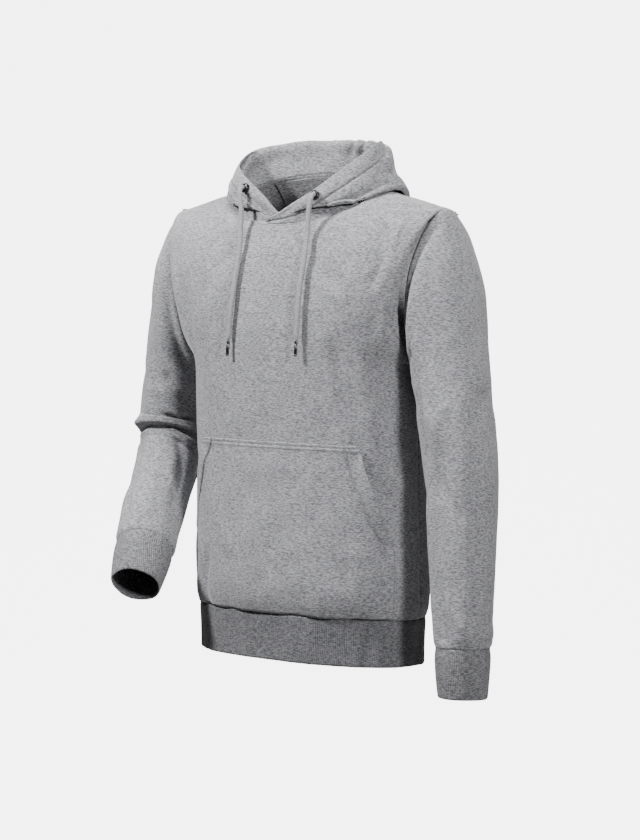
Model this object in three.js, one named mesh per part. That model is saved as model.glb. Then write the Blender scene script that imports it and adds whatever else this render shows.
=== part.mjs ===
// A pullover hoodie, filled out as when it is worn, with its hood lying back.
// Millimetres, +Z up. The garment faces -Y and +X is its own left side.
// The origin lies midway between the two points where the neck seam crosses the shoulders.

import * as THREE from "three";

// Cloth and seams
const CLOTH = 2.2;            // fleece-backed sweatshirt knit
const RIB_CLOTH = 2.6;        // doubled rib of hem and cuffs
const SEAM_GAP = 0.4;

// Neck seam: an ellipse in plan that rises towards the nape
const NECK_HALF_WIDTH = 118;
const NECK_FRONT = 92;
const NECK_BACK = 47;
const NECK_RISE = 0.59;
const NECK_STEPS = 20;        // from ear to ear, on the front and on the back
const NECK_FADE = 0.9;        // how far across a panel the neck's roundness fades out below the seam

// Shoulders and armholes
const SHOULDER_TIP = { x: 233, z: -30 };
const ARMHOLE = { base: 205, flare: 24, waist: 4, depth: 72, bottom: -250 };
const SHOULDER_COLUMNS = 6;
const ARMHOLE_ROWS = 10;
const LOWER_ROWS = 12;

// The garment leans a little: its right side is carried higher, because that arm is bent.
const LEAN = 0.048;

// Half width and depths of the body at each height
const BODY = [
  { at: "hem seam",    z: -611, side: 179, front: 119, back: 92 },
  { at: "blouse",      z: -590, side: 184, front: 126, back: 97 },
  { at: "hips",        z: -530, side: 185, front: 127, back: 96 },
  { at: "waist",       z: -430, side: 182, front: 123, back: 91 },
  { at: "lower chest", z: -330, side: 182, front: 125, back: 97 },
  { at: "armpits",     z: -250, side: 185, front: 128, back: 106 },
];
const CHEST_ROUNDNESS = 2.4;
const SHOULDER_BLADES = 10;   // swell of the upper back
// How late, on the way up from the armpits, the section's depth and its roundness turn into the
// neck's own: the higher the power, the later.
const CLOSING = { depth: 2.6, roundness: 2.4, neck: 8 };
const SHOULDER_SLOPE = 1.15;  // above 1 the shoulder line starts level at the neck

const HEM_RIB = { height: 66, tuck: 5, steps: 2 };
const CUFF = { height: 70, steps: 2 };

// Sleeves: centre line and half widths below the armpit, outward (out) and to the front (fore).
// x is measured outwards, so both tables read alike.
const LEFT_SLEEVE = [
  { at: "armpit",   x: 244, y: -12, z: -272, out: 54, fore: 62 },
  { at: "biceps",   x: 253, y: -18, z: -318, out: 51, fore: 60 },
  { at: "elbow",    x: 267, y: -24, z: -407, out: 48, fore: 55 },
  { at: "forearm",  x: 272, y: -30, z: -497, out: 45, fore: 51 },
  { at: "wrist",    x: 276, y: -36, z: -587, out: 41, fore: 46 },
  { at: "cuff",     x: 278, y: -38, z: -638, out: 38, fore: 43 },
  { at: "cuff end", x: 279, y: -39, z: -707, out: 33, fore: 39 },
];
const RIGHT_SLEEVE = [
  { at: "armpit",       x: 245, y: -2,   z: -272, out: 54, fore: 62 },
  { at: "biceps",       x: 253, y: 0,    z: -318, out: 53, fore: 58 },
  { at: "above elbow",  x: 258, y: 0,    z: -354, out: 52, fore: 57 },
  { at: "elbow",        x: 254, y: -16,  z: -392, out: 50, fore: 51 },
  { at: "below elbow",  x: 244, y: -42,  z: -428, out: 48, fore: 48 },
  { at: "forearm",      x: 228, y: -88,  z: -479, out: 47, fore: 47 },
  { at: "cuff",         x: 204, y: -140, z: -534, out: 43, fore: 43 },
  { at: "cuff end",     x: 185, y: -184, z: -583, out: 36, fore: 36 },
];
const SLEEVE_COLUMNS = 2 * ARMHOLE_ROWS;
const CAP_ROWS = 8;
const SLEEVE_ROWS = 15;
const CAP_PULL = 0.34;
// Direction in which a sleeve's cap leaves the armhole, and what is added to it at the shoulder
const CAP_AWAY = { out: 0.3, fore: 0.25, down: 0.95, topOut: 0.3, topLift: 0.15 };

// Hood, by angle round the neck from the front centre (0) to the nape (180):
// stand: height of the inner layer's fold; roll: height of the outer layer's lowest fold;
// out: how far that fold stands off the neck seam; crease: offset of the inner fold; rise and
// belly: height and offset of the outer layer's middle; edge, right and lean: height of the
// opening's edge on the left and on the right half, and its offset.
const HOOD = [
  { angle: -9,  stand: 2,  crease: 0,  roll: 3,    out: 0,   rise: 5,   belly: 0,   edge: 7,  right: 8,  lean: 0 },
  { angle: 0,   stand: 6,  crease: 0,  roll: 7,    out: 0,   rise: 10,  belly: 0,   edge: 14, right: 17, lean: 0 },
  { angle: 13,  stand: 13, crease: 0,  roll: 14,   out: 0.4, rise: 20,  belly: 0.4, edge: 28, right: 38, lean: 0 },
  { angle: 27,  stand: 21, crease: -2, roll: 16,   out: 6,   rise: 28,  belly: 6,   edge: 41, right: 53, lean: 0 },
  { angle: 45,  stand: 26, crease: -2, roll: 11,   out: 9,   rise: 32,  belly: 7,   edge: 57, right: 60, lean: 0 },
  { angle: 65,  stand: 36, crease: -1, roll: 2,    out: 15,  rise: 34,  belly: 9,   edge: 68, right: 60, lean: 0 },
  { angle: 85,  stand: 47, crease: 0,  roll: -3,   out: 21,  rise: 30,  belly: 9,   edge: 72, right: 58, lean: -1 },
  { angle: 105, stand: 50, crease: 1,  roll: -12,  out: 28,  rise: 18,  belly: 10,  edge: 61, right: 53, lean: 0 },
  { angle: 125, stand: 50, crease: 1,  roll: -30,  out: 40,  rise: 0,   belly: 21,  edge: 44, right: 41, lean: 8 },
  { angle: 145, stand: 49, crease: 2,  roll: -85,  out: 58,  rise: -36, belly: 52,  edge: 32, right: 30, lean: 28 },
  { angle: 165, stand: 48, crease: 2,  roll: -150, out: 74,  rise: -75, belly: 76,  edge: 22, right: 22, lean: 40 },
  { angle: 180, stand: 48, crease: 2,  roll: -168, out: 80,  rise: -85, belly: 84,  edge: 19, right: 19, lean: 44 },
];
const HOOD_START = -9;
const HOOD_ROWS = 20;
const HOOD_LAP = 1.6;         // half the step between the lapped front corners
const HOOD_SEAT = 0.5;        // the hood's lower edge above the neck seam
const HOOD_CLEAR = 3.2;       // the outer layer above the body, from this column and row on
const HOOD_FREE = { column: 5, row: 6 };

// The pocket's upper corner sits nearer the middle on the garment's right
const POCKET = {
  top: -367, openingEnd: -503, foot: -608, sideReach: 0.95, lift: 2, columns: 14, rows: 10,
  left: { topReach: 0.76, gape: 11 }, right: { topReach: 0.65, gape: 5 },
};
const FACING = { halfWidth: 0.41, top: 1.985, drop: 0.44, lift: 2.6, thickness: 1.2, columns: 12, rows: 7 };

const EYELET = { angle: 30, below: 13.5, radius: 5.2, wire: 1.3, lift: 0.3 };
const CORD = { width: 6.4, sides: 8, steps: 26 };
const TIP = { radius: 2.3, length: 22, sides: 8 };

// Free stretch of each drawcord, from the eyelet down to its metal tip
const LEFT_CORD = [
  [63, -87, -19], [64.5, -93, -17.5], [65, -99, -22], [64.3, -102, -33], [63.6, -104, -46], [64.3, -109, -76],
  [67, -120, -112], [66.2, -128, -148], [65, -132, -184], [63.9, -133, -212], [63.3, -133.5, -226],
];
const RIGHT_CORD = [
  [-61.3, -84.3, -2], [-62.8, -91, -1], [-62.5, -97, -6], [-59.5, -100, -18], [-56.5, -102, -32], [-53.5, -107, -60],
  [-49.8, -115, -92], [-49.2, -124, -128], [-51.3, -130, -164], [-53.8, -132, -195], [-56, -133, -223],
];

// Largest folds of the body: a soft ridge (height above 0) or trough from one point to another
const FRONT_FOLDS = [
  { from: [128, -250], to: [168, -385], width: 17, height: 5 },
  { from: [108, -258], to: [140, -375], width: 15, height: -4 },
  { from: [196, -95],  to: [172, -190], width: 13, height: -5 },
  { from: [-186, -100], to: [-150, -215], width: 14, height: -4 },
  { from: [-150, -540], to: [-176, -585], width: 16, height: -5 },
];
const BACK_FOLDS = [
  { from: [150, -170], to: [95, -330],  width: 19, height: -5 },
  { from: [-150, -150], to: [-90, -320], width: 18, height: -5 },
  { from: [120, -400], to: [160, -560], width: 17, height: 4 },
  { from: [-60, -450], to: [-110, -590], width: 20, height: -4 },
];
// Folds across a sleeve: place along it (0 armhole, 1 cuff seam), angle round it (90 = front),
// reach along and round, height
const LEFT_SLEEVE_FOLDS = [
  { along: 0.42, round: 200, reach: 0.05, spread: 70, height: -4 },
  { along: 0.62, round: 120, reach: 0.04, spread: 60, height: -3 },
  { along: 0.95, round: 300, reach: 0.035, spread: 90, height: 3 },
];
const RIGHT_SLEEVE_FOLDS = [
  { along: 0.59, round: 90,  reach: 0.028, spread: 100, height: 6 },
  { along: 0.65, round: 90,  reach: 0.025, spread: 95,  height: -6 },
  { along: 0.36, round: 60,  reach: 0.04,  spread: 50,  height: -4 },
  { along: 0.85, round: 40,  reach: 0.03,  spread: 70,  height: -3 },
];

const GREY = new THREE.Color(0.42, 0.42, 0.43);
const RIB_GREY = new THREE.Color(0.27, 0.27, 0.28);
const CORD_GREY = new THREE.Color(0.36, 0.36, 0.37);
const GUNMETAL = new THREE.Color(0.05, 0.05, 0.055);

// Small helpers

const radians = THREE.MathUtils.degToRad;
const smoothstep = THREE.MathUtils.smoothstep;
const lerp = THREE.MathUtils.lerp;

// Smooth (Catmull-Rom) reading of one column of a table at a value of its key column.
function readTable(table, key, at, column) {
  const rising = table[table.length - 1][key] > table[0][key];
  const order = rising ? table : [...table].reverse();
  let k = 0;
  while (k < order.length - 2 && at > order[k + 1][key]) k += 1;
  const spot = (n) => order[Math.min(Math.max(n, 0), order.length - 1)];
  const [a, b, c, d] = [spot(k - 1), spot(k), spot(k + 1), spot(k + 2)];
  const span = c[key] - b[key];
  const t = THREE.MathUtils.clamp((at - b[key]) / span, 0, 1);
  const slope = (p, q) => (q[key] === p[key] ? 0 : ((q[column] - p[column]) / (q[key] - p[key])) * span);
  const into = slope(a, c);
  const out = slope(b, d);
  const cubic = 2 * t ** 3 - 3 * t ** 2;
  return (1 + cubic) * b[column] - cubic * c[column]
    + (t ** 3 - 2 * t ** 2 + t) * into + (t ** 3 - t ** 2) * out;
}

// A ridge or trough along a line: a bell across it, fading out at both ends.
function foldHeight(folds, x, z) {
  let sum = 0;
  for (const fold of folds) {
    const [x0, z0] = fold.from;
    const dx = fold.to[0] - x0;
    const dz = fold.to[1] - z0;
    const length2 = dx * dx + dz * dz;
    const along = ((x - x0) * dx + (z - z0) * dz) / length2;
    const across = ((x - x0) * dz - (z - z0) * dx) / Math.sqrt(length2);
    const past = Math.max(0, -along, along - 1) * Math.sqrt(length2);
    sum += fold.height * Math.exp(-((across / fold.width) ** 2) - (past / (1.6 * fold.width)) ** 2);
  }
  return sum;
}

function leanOver(p) {
  return new THREE.Vector3(p.x, p.y, p.z - LEAN * p.x);
}

// The neck seam at an angle from the front centre; positive angles run to the garment's left.
function neckPoint(angle) {
  const a = radians(angle);
  const reach = Math.cos(a) > 0 ? NECK_FRONT : NECK_BACK;
  const y = -reach * Math.cos(a);
  return new THREE.Vector3(NECK_HALF_WIDTH * Math.sin(a), y, NECK_RISE * y);
}

// The armhole seam at an angle: 0 at the shoulder tip, 90 at the front, 180 at the armpit.
function armholePoint(angle) {
  const c = Math.cos(radians(angle));
  const middle = (SHOULDER_TIP.z + ARMHOLE.bottom) / 2;
  const half = (SHOULDER_TIP.z - ARMHOLE.bottom) / 2;
  return new THREE.Vector3(
    ARMHOLE.base + ARMHOLE.flare * c + ARMHOLE.waist * (2 * c * c - 1),
    -ARMHOLE.depth * Math.sin(radians(angle)),
    middle + half * c,
  );
}

// A panel of the body, front (facing = -1) or back (+1). across runs from -1 to 1 between the
// side seams, up from 0 at the hem through 1 at the armpit to 2 at the shoulder.
function bodyPoint(facing, across, up) {
  const round = (1 - Math.abs(across) ** CHEST_ROUNDNESS) ** (1 / CHEST_ROUNDNESS);
  const depthColumn = facing < 0 ? "front" : "back";
  const p = new THREE.Vector3();
  if (up <= 1) {
    const z = lerp(BODY[0].z, ARMHOLE.bottom, up);
    const side = readTable(BODY, "z", z, "side");
    p.set(across * side, facing * readTable(BODY, "z", z, depthColumn) * round, z);
  } else {
    const arm = armholePoint(180 * (2 - up));
    const sideClimb = (arm.z - ARMHOLE.bottom) / (SHOULDER_TIP.z - ARMHOLE.bottom);
    const climb = lerp(up - 1, sideClimb, Math.abs(across) ** 3);
    const neckShare = NECK_HALF_WIDTH / SHOULDER_TIP.x;
    const reach = Math.abs(across) / neckShare;
    const neckRound = reach < 1 ? Math.sqrt(1 - reach * reach) : 0;
    const neckDepth = facing < 0 ? NECK_FRONT : NECK_BACK;
    const shoulder = Math.max(0, (Math.abs(across) - neckShare) / (1 - neckShare));
    const top = reach < 1 ? NECK_RISE * facing * neckDepth * neckRound : SHOULDER_TIP.z * shoulder ** SHOULDER_SLOPE;
    const chest = facing < 0 ? BODY[BODY.length - 1].front : BODY[BODY.length - 1].back;
    const swell = facing < 0 ? 0 : SHOULDER_BLADES * Math.sin(Math.PI * climb);
    const centre = chest + swell - (chest - neckDepth) * climb ** CLOSING.depth;
    const over = Math.sqrt(1 - climb ** CLOSING.roundness);
    const softRound = Math.max(0, 1 - (across / NECK_FADE) ** 2) ** 1.5;
    const shape = over * round + (1 - over) * lerp(softRound, neckRound, climb ** CLOSING.neck);
    const edge = Math.abs(arm.y);
    p.set(
      across * arm.x,
      facing * (edge + (centre - edge) * shape),
      ARMHOLE.bottom + (top - ARMHOLE.bottom) * climb,
    );
  }
  const folds = facing < 0 ? FRONT_FOLDS : BACK_FOLDS;
  const inside = 1 - across ** 6;
  const open = smoothstep(up, 0, 0.12) * (1 - smoothstep(up, 1.75, 2));
  p.y += facing * foldHeight(folds, p.x, p.z) * inside * open;
  return leanOver(p);
}

// Columns of a body panel: the neck seam's own angles, then the shoulder seams.
function bodyColumns() {
  const share = NECK_HALF_WIDTH / SHOULDER_TIP.x;
  const columns = [];
  const outer = (k) => share + (1 - share) * Math.sin((Math.PI / 2) * (k / SHOULDER_COLUMNS));
  for (let k = SHOULDER_COLUMNS; k > 0; k -= 1) columns.push(-outer(k));
  for (let k = 0; k <= NECK_STEPS; k += 1) {
    columns.push(share * Math.sin(radians(-90 + (180 * k) / NECK_STEPS)));
  }
  for (let k = 1; k <= SHOULDER_COLUMNS; k += 1) columns.push(outer(k));
  return columns;
}

function bodyRows() {
  const rows = [];
  for (let k = 0; k <= LOWER_ROWS; k += 1) rows.push(k / LOWER_ROWS);
  for (let k = 1; k <= ARMHOLE_ROWS; k += 1) rows.push(1 + k / ARMHOLE_ROWS);
  return rows;
}

// Sheets: a grid of outer points, sewn to its neighbours and then given its thickness

function makeSheet(name, options, pointAt, us, vs) {
  const points = us.map((u) => vs.map((v) => pointAt(u, v)));
  const plain = { thickness: CLOTH, closed: false, seams: [], flip: false, crossed: false };
  return { ...plain, name, ...options, points };
}

function gridNormals(sheet) {
  const { points, closed, flip } = sheet;
  const n = points.length;
  const m = points[0].length;
  sheet.normals = points.map((row, i) => row.map((_, j) => {
    const before = closed ? points[(i + n - 1) % n][j] : points[Math.max(i - 1, 0)][j];
    const after = closed ? points[(i + 1) % n][j] : points[Math.min(i + 1, n - 1)][j];
    const du = after.clone().sub(before);
    const dv = row[Math.min(j + 1, m - 1)].clone().sub(row[Math.max(j - 1, 0)]);
    return du.cross(dv).multiplyScalar(flip ? -1 : 1).normalize();
  }));
}

// Where sheets meet they share one direction of thickness, and each draws back half the gap.
function sewTogether(sheets) {
  const shared = new Map();
  const borders = [];
  for (const sheet of sheets) {
    gridNormals(sheet);
    const n = sheet.points.length;
    const m = sheet.points[0].length;
    for (let i = 0; i < n; i += 1) {
      for (let j = 0; j < m; j += 1) {
        const inward = new THREE.Vector3();
        const toward = (i2, j2) => inward.add(
          sheet.points[i2][j2].clone().sub(sheet.points[i][j]).normalize(),
        );
        if (sheet.seams.includes("start") && i === 0) toward(1, j);
        if (sheet.seams.includes("end") && i === n - 1) toward(n - 2, j);
        if (sheet.seams.includes("bottom") && j === 0) toward(i, 1);
        if (sheet.seams.includes("top") && j === m - 1) toward(i, m - 2);
        if (inward.lengthSq() === 0) continue;
        const p = sheet.points[i][j];
        const key = [p.x, p.y, p.z].map((value) => Math.round(value * 20)).join();
        if (!shared.has(key)) shared.set(key, new Map());
        const groups = shared.get(key);
        if (!groups.has(sheet.group)) groups.set(sheet.group, new THREE.Vector3());
        groups.get(sheet.group).add(sheet.normals[i][j]);
        borders.push({ sheet, i, j, inward, groups });
      }
    }
  }
  for (const { sheet, i, j, inward, groups } of borders) {
    const normal = new THREE.Vector3();
    for (const direction of groups.values()) normal.add(direction.clone().normalize());
    sheet.normals[i][j] = normal.normalize();
    sheet.points[i][j] = sheet.points[i][j].clone().addScaledVector(inward, SEAM_GAP / 2);
  }
}

// Closed body between the outer points and the same points moved in by the thickness.
function sheetGeometry(sheet) {
  const { points, normals, closed, flip, crossed, thickness } = sheet;
  const n = points.length;
  const m = points[0].length;
  const outer = (i, j) => (i % n) * m + j;
  const inner = (i, j) => n * m + outer(i, j);
  const vertices = [];
  for (const depth of [0, thickness]) {
    points.forEach((row, i) => row.forEach((p, j) => {
      vertices.push(...p.clone().addScaledVector(normals[i][j], -depth).toArray());
    }));
  }
  const index = [];
  const quad = (a, b, c, d) => (flip ? index.push(a, c, b, a, d, c) : index.push(a, b, c, a, c, d));
  const columns = closed ? n : n - 1;
  for (let i = 0; i < columns; i += 1) {
    for (let j = 0; j < m - 1; j += 1) {
      quad(outer(i, j), outer(i + 1, j), outer(i + 1, j + 1), outer(i, j + 1));
      quad(inner(i, j), inner(i, j + 1), inner(i + 1, j + 1), inner(i + 1, j));
    }
    quad(outer(i, 0), inner(i, 0), inner(i + 1, 0), outer(i + 1, 0));
    quad(outer(i, m - 1), outer(i + 1, m - 1), inner(i + 1, m - 1), inner(i, m - 1));
  }
  for (let j = 0; j < m - 1 && !closed; j += 1) {
    const start = [outer(0, j), outer(0, j + 1), inner(0, j + 1), inner(0, j)];
    const end = [outer(n - 1, j), inner(n - 1, j), inner(n - 1, j + 1), outer(n - 1, j + 1)];
    // A crossed strip is split along its other diagonal, to match the sleeve that it meets.
    for (const strip of [start, end]) quad(...(crossed ? [...strip.slice(1), strip[0]] : strip));
  }
  const geometry = new THREE.BufferGeometry();
  geometry.setAttribute("position", new THREE.Float32BufferAttribute(vertices, 3));
  geometry.setIndex(index);
  geometry.computeVertexNormals();
  return geometry;
}

// Body

function bodyPanel(name, facing) {
  return makeSheet(
    name,
    { group: "body", seams: ["start", "end", "bottom", "top"], flip: facing > 0, crossed: facing < 0 },
    (across, up) => bodyPoint(facing, across, up),
    bodyColumns(),
    bodyRows(),
  );
}

// The rib of the hem continues the body's lower edge and draws in a little.
function hemRib() {
  const columns = bodyColumns();
  const round = [
    ...columns.slice(0, -1).map((across) => ({ across, facing: -1 })),
    ...columns.slice(1).reverse().map((across) => ({ across, facing: 1 })),
  ];
  const drops = Array.from({ length: HEM_RIB.steps + 1 }, (_, k) => 1 - k / HEM_RIB.steps);
  return makeSheet(
    "hem_rib",
    { group: "rib", seams: ["top"], closed: true, thickness: RIB_CLOTH },
    ({ across, facing }, drop) => {
      const p = bodyPoint(facing, across, 0);
      const pull = 1 - (HEM_RIB.tuck * Math.sin(drop * Math.PI * 0.6)) / BODY[0].side;
      return new THREE.Vector3(p.x * pull, p.y * pull, p.z - HEM_RIB.height * drop);
    },
    round,
    drops,
  );
}

// Sleeves

function sleeveCurve(table, side) {
  const points = table.map((row) => new THREE.Vector3(side * row.x, row.y, row.z));
  return new THREE.CatmullRomCurve3(points, false, "centripetal");
}

function tubePoint(table, side, curve, along, angle, folds, foldAlong) {
  const last = table.length - 1;
  const stations = table.map((row, k) => ({ ...row, k }));
  const out = readTable(stations, "k", along * last, "out");
  const fore = readTable(stations, "k", along * last, "fore");
  const centre = curve.getPoint(along);
  const axis = curve.getTangent(along);
  const outward = new THREE.Vector3(side, 0, 0).addScaledVector(axis, -side * axis.x).normalize();
  const front = new THREE.Vector3().crossVectors(axis, outward).multiplyScalar(side).normalize();
  let swell = 0;
  for (const fold of folds) {
    const turn = (((angle - fold.round + 540) % 360) - 180) / fold.spread;
    const step = (foldAlong - fold.along) / fold.reach;
    swell += fold.height * Math.exp(-turn * turn - step * step);
  }
  return centre
    .addScaledVector(outward, (out + swell) * Math.cos(radians(angle)))
    .addScaledVector(front, (fore + swell) * Math.sin(radians(angle)));
}

// From the armhole a cap bends over the shoulder into the tube that follows the arm's line.
function sleevePoint(table, side, curve, folds, cuffAt, along, angle) {
  const tubeStart = CAP_ROWS / (CAP_ROWS + SLEEVE_ROWS);
  if (along >= tubeStart) {
    const share = (along - tubeStart) / (1 - tubeStart);
    return leanOver(tubePoint(table, side, curve, share * cuffAt, angle, folds, along));
  }
  const seam = armholePoint(angle);
  seam.x *= side;
  const end = tubePoint(table, side, curve, 0, angle, folds, along);
  const high = (1 + Math.cos(radians(angle))) / 2;
  const away = new THREE.Vector3(
    side * (CAP_AWAY.out + CAP_AWAY.topOut * high),
    -CAP_AWAY.fore * Math.sin(radians(angle)),
    -CAP_AWAY.down + CAP_AWAY.topLift * high,
  ).normalize();
  const reach = seam.distanceTo(end) * CAP_PULL;
  const bend = new THREE.CubicBezierCurve3(
    seam,
    seam.clone().addScaledVector(away, reach),
    end.clone().addScaledVector(curve.getTangent(0), -reach),
    end,
  );
  return leanOver(bend.getPoint(along / tubeStart));
}

function sleeveSheets(label, table, side, folds) {
  const curve = sleeveCurve(table, side);
  const cuffAt = (table.length - 2) / (table.length - 1);
  const angles = Array.from({ length: SLEEVE_COLUMNS }, (_, k) => (360 * k) / SLEEVE_COLUMNS);
  const rows = CAP_ROWS + SLEEVE_ROWS;
  const alongs = Array.from({ length: rows + 1 }, (_, k) => k / rows);
  const sleeve = makeSheet(
    `sleeve_${label}`,
    { group: "sleeve", seams: ["bottom", "top"], closed: true, flip: side < 0 },
    (angle, along) => sleevePoint(table, side, curve, folds, cuffAt, along, angle),
    angles,
    alongs,
  );
  const cuffAlongs = Array.from({ length: CUFF.steps + 1 }, (_, k) => lerp(cuffAt, 1, k / CUFF.steps));
  const cuff = makeSheet(
    `cuff_${label}`,
    { group: "rib", seams: ["bottom"], closed: true, thickness: RIB_CLOTH, flip: side < 0 },
    (angle, along) => leanOver(tubePoint(table, side, curve, along, angle, [], along)),
    angles,
    cuffAlongs,
  );
  return [sleeve, cuff];
}

// Hood

// Section of the hood at one angle round the neck: offsets outward (r) and upward (h).
function hoodProfile(side, angle) {
  const read = (column) => readTable(HOOD, "angle", angle, column);
  const stand = read("stand");
  const crease = read("crease");
  const roll = read("roll");
  const out = read("out");
  const rise = read("rise");
  const belly = read("belly");
  const edge = read(side > 0 ? "edge" : "right");
  const lean = read("lean");
  const thickFold = THREE.MathUtils.clamp(out * 0.45, 0.2, 9);
  const back = smoothstep(angle, 60, 130);
  const points = [
    [0, 0],
    [crease * 0.6, stand * 0.5],
    [crease, stand - 0.3 * thickFold],
    [lerp(crease + 0.6 * thickFold, crease + thickFold, back), lerp(stand - 0.1 * thickFold, stand, back)],
    [lerp(crease, out, 0.5), lerp(stand, roll, 0.45)],
    [lerp(crease, out, 0.84), lerp(stand, roll, 0.86)],
    [out, roll],
    [out + 0.45 * thickFold, lerp(roll, rise, 0.2) + 0.2 * thickFold],
    [belly + 0.4 * thickFold, rise],
    [lerp(belly + 0.4 * thickFold, lean + 1, 0.6), lerp(rise, edge, 0.55)],
    [lean, edge],
  ];
  return new THREE.CatmullRomCurve3(points.map(([r, h]) => new THREE.Vector3(r, h, 0)), false, "centripetal");
}

function hoodPoint(side, angle, along) {
  const base = neckPoint(angle);
  const offset = hoodProfile(side, angle).getPoint(along);
  const lap = side * HOOD_LAP * (1 - smoothstep(angle, 14, 32));
  const a = radians(angle);
  const r = offset.x + lap;
  const p = new THREE.Vector3(
    base.x + r * Math.sin(a),
    base.y - r * Math.cos(a),
    base.z + HOOD_SEAT + offset.y,
  );
  p.x *= side;
  return leanOver(p);
}

// Points that would press into the body are moved out along the body's own surface direction.
function clearOfBody(sheet, body, clearance, firstColumn, firstRow) {
  const samples = body.flatMap((panel) => panel.points.flatMap((row, i) => row.map((p, j) => (
    { p, n: panel.normals[i][j] }
  ))));
  sheet.points.slice(firstColumn).forEach((row) => row.slice(firstRow).forEach((q) => {
    for (let pass = 0; pass < 3; pass += 1) {
      let best = null;
      let nearest = Infinity;
      for (const sample of samples) {
        const d = sample.p.distanceToSquared(q);
        if (d < nearest) {
          nearest = d;
          best = sample;
        }
      }
      const height = q.clone().sub(best.p).dot(best.n);
      if (height < clearance) q.addScaledVector(best.n, clearance - height);
    }
  }));
}

function fineBody() {
  const steps = (count, low, high) => Array.from({ length: count + 1 }, (_, k) => lerp(low, high, k / count));
  const panels = [-1, 1].map((facing) => makeSheet(
    "fine",
    { group: "fine", flip: facing > 0 },
    (across, up) => bodyPoint(facing, across, up),
    steps(90, -1, 1),
    steps(60, 0.9, 2),
  ));
  panels.forEach(gridNormals);
  return panels;
}

function hoodSheet(label, side, body) {
  const step = 180 / NECK_STEPS;
  const count = (180 - HOOD_START) / step;
  const angles = Array.from({ length: count + 1 }, (_, k) => HOOD_START + step * k);
  const alongs = Array.from({ length: HOOD_ROWS + 1 }, (_, k) => k / HOOD_ROWS);
  const sheet = makeSheet(
    `hood_${label}`,
    { group: "hood", seams: ["end"], flip: side < 0 },
    (angle, along) => hoodPoint(side, angle, along),
    angles,
    alongs,
  );
  clearOfBody(sheet, body, HOOD_CLEAR, HOOD_FREE.column, HOOD_FREE.row);
  return sheet;
}

// Pocket and neck facing: points of a body panel, moved out or in

function pocketSheet() {
  const rows = Array.from({ length: POCKET.rows + 1 }, (_, k) => lerp(POCKET.foot, POCKET.top, k / POCKET.rows));
  const columns = Array.from(
    { length: POCKET.columns + 1 },
    (_, k) => Math.sin(Math.PI * (k / POCKET.columns - 0.5)),
  );
  const sheet = makeSheet("kangaroo_pocket", { group: "pocket" }, (across, z) => {
    const climb = THREE.MathUtils.clamp((z - POCKET.openingEnd) / (POCKET.top - POCKET.openingEnd), 0, 1);
    const { topReach } = across < 0 ? POCKET.right : POCKET.left;
    const reach = lerp(POCKET.sideReach, topReach, climb ** 0.85);
    const up = (z - BODY[0].z) / (ARMHOLE.bottom - BODY[0].z);
    return bodyPoint(-1, across * reach, up);
  }, columns, rows);
  gridNormals(sheet);
  sheet.points.forEach((row, i) => row.forEach((p, j) => {
    const climb = (rows[j] - POCKET.openingEnd) / (POCKET.top - POCKET.openingEnd);
    const { gape } = columns[i] < 0 ? POCKET.right : POCKET.left;
    const open = climb > 0 && climb < 1 ? Math.sin(Math.PI * climb) * Math.abs(columns[i]) ** 8 : 0;
    p.addScaledVector(sheet.normals[i][j], POCKET.lift + CLOTH + gape * open);
  }));
  gridNormals(sheet);
  return sheet;
}

function facingSheet() {
  const columns = Array.from({ length: FACING.columns + 1 }, (_, k) => lerp(-1, 1, k / FACING.columns));
  const rows = Array.from({ length: FACING.rows + 1 }, (_, k) => k / FACING.rows);
  const sheet = makeSheet("neck_facing", { group: "facing", flip: true, thickness: FACING.thickness }, (across, row) => {
    const drop = FACING.drop * Math.sqrt(1 - 0.93 * across * across);
    return bodyPoint(1, across * FACING.halfWidth, lerp(FACING.top - drop, FACING.top, row));
  }, columns, rows);
  gridNormals(sheet);
  sheet.points.forEach((row, i) => row.forEach((p, j) => {
    p.addScaledVector(sheet.normals[i][j], -CLOTH - FACING.lift);
  }));
  gridNormals(sheet);
  return sheet;
}

// Eyelets, drawcords and tips

// Middle and outward direction of an eyelet, read off the hood's own surface a set way below
// the opening's edge.
function eyeletSeat(side) {
  const profile = hoodProfile(side, EYELET.angle);
  const wanted = profile.getPoint(1).y - EYELET.below;
  const step = 0.002;
  let along = 1;
  while (profile.getPoint(along).y > wanted) along -= step;
  const at = (angle, place) => hoodPoint(side, angle, place);
  const du = at(EYELET.angle + 1, along).sub(at(EYELET.angle - 1, along));
  const dv = at(EYELET.angle, along + 10 * step).sub(at(EYELET.angle, along - 10 * step));
  return { middle: at(EYELET.angle, along), normal: du.cross(dv).multiplyScalar(side).normalize() };
}

function eyeletGeometry(side) {
  const { middle, normal } = eyeletSeat(side);
  const ring = new THREE.TorusGeometry(EYELET.radius, EYELET.wire, 8, 14);
  ring.applyQuaternion(new THREE.Quaternion().setFromUnitVectors(new THREE.Vector3(0, 0, 1), normal));
  const place = middle.clone().addScaledVector(normal, EYELET.wire + EYELET.lift);
  return ring.translate(place.x, place.y, place.z);
}

function cordSection(width, sides) {
  const outline = Array.from({ length: sides }, (_, k) => {
    const a = (2 * Math.PI * (k + 0.5)) / sides;
    return new THREE.Vector2((width / 2) * Math.cos(a), (width / 2) * Math.sin(a));
  });
  return new THREE.Shape(outline);
}

function cordGeometry(route) {
  const path = new THREE.CatmullRomCurve3(route.map((p) => new THREE.Vector3(...p)), false, "centripetal");
  return new THREE.ExtrudeGeometry(cordSection(CORD.width, CORD.sides), {
    steps: CORD.steps,
    extrudePath: path,
    curveSegments: 1,
  });
}

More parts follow.
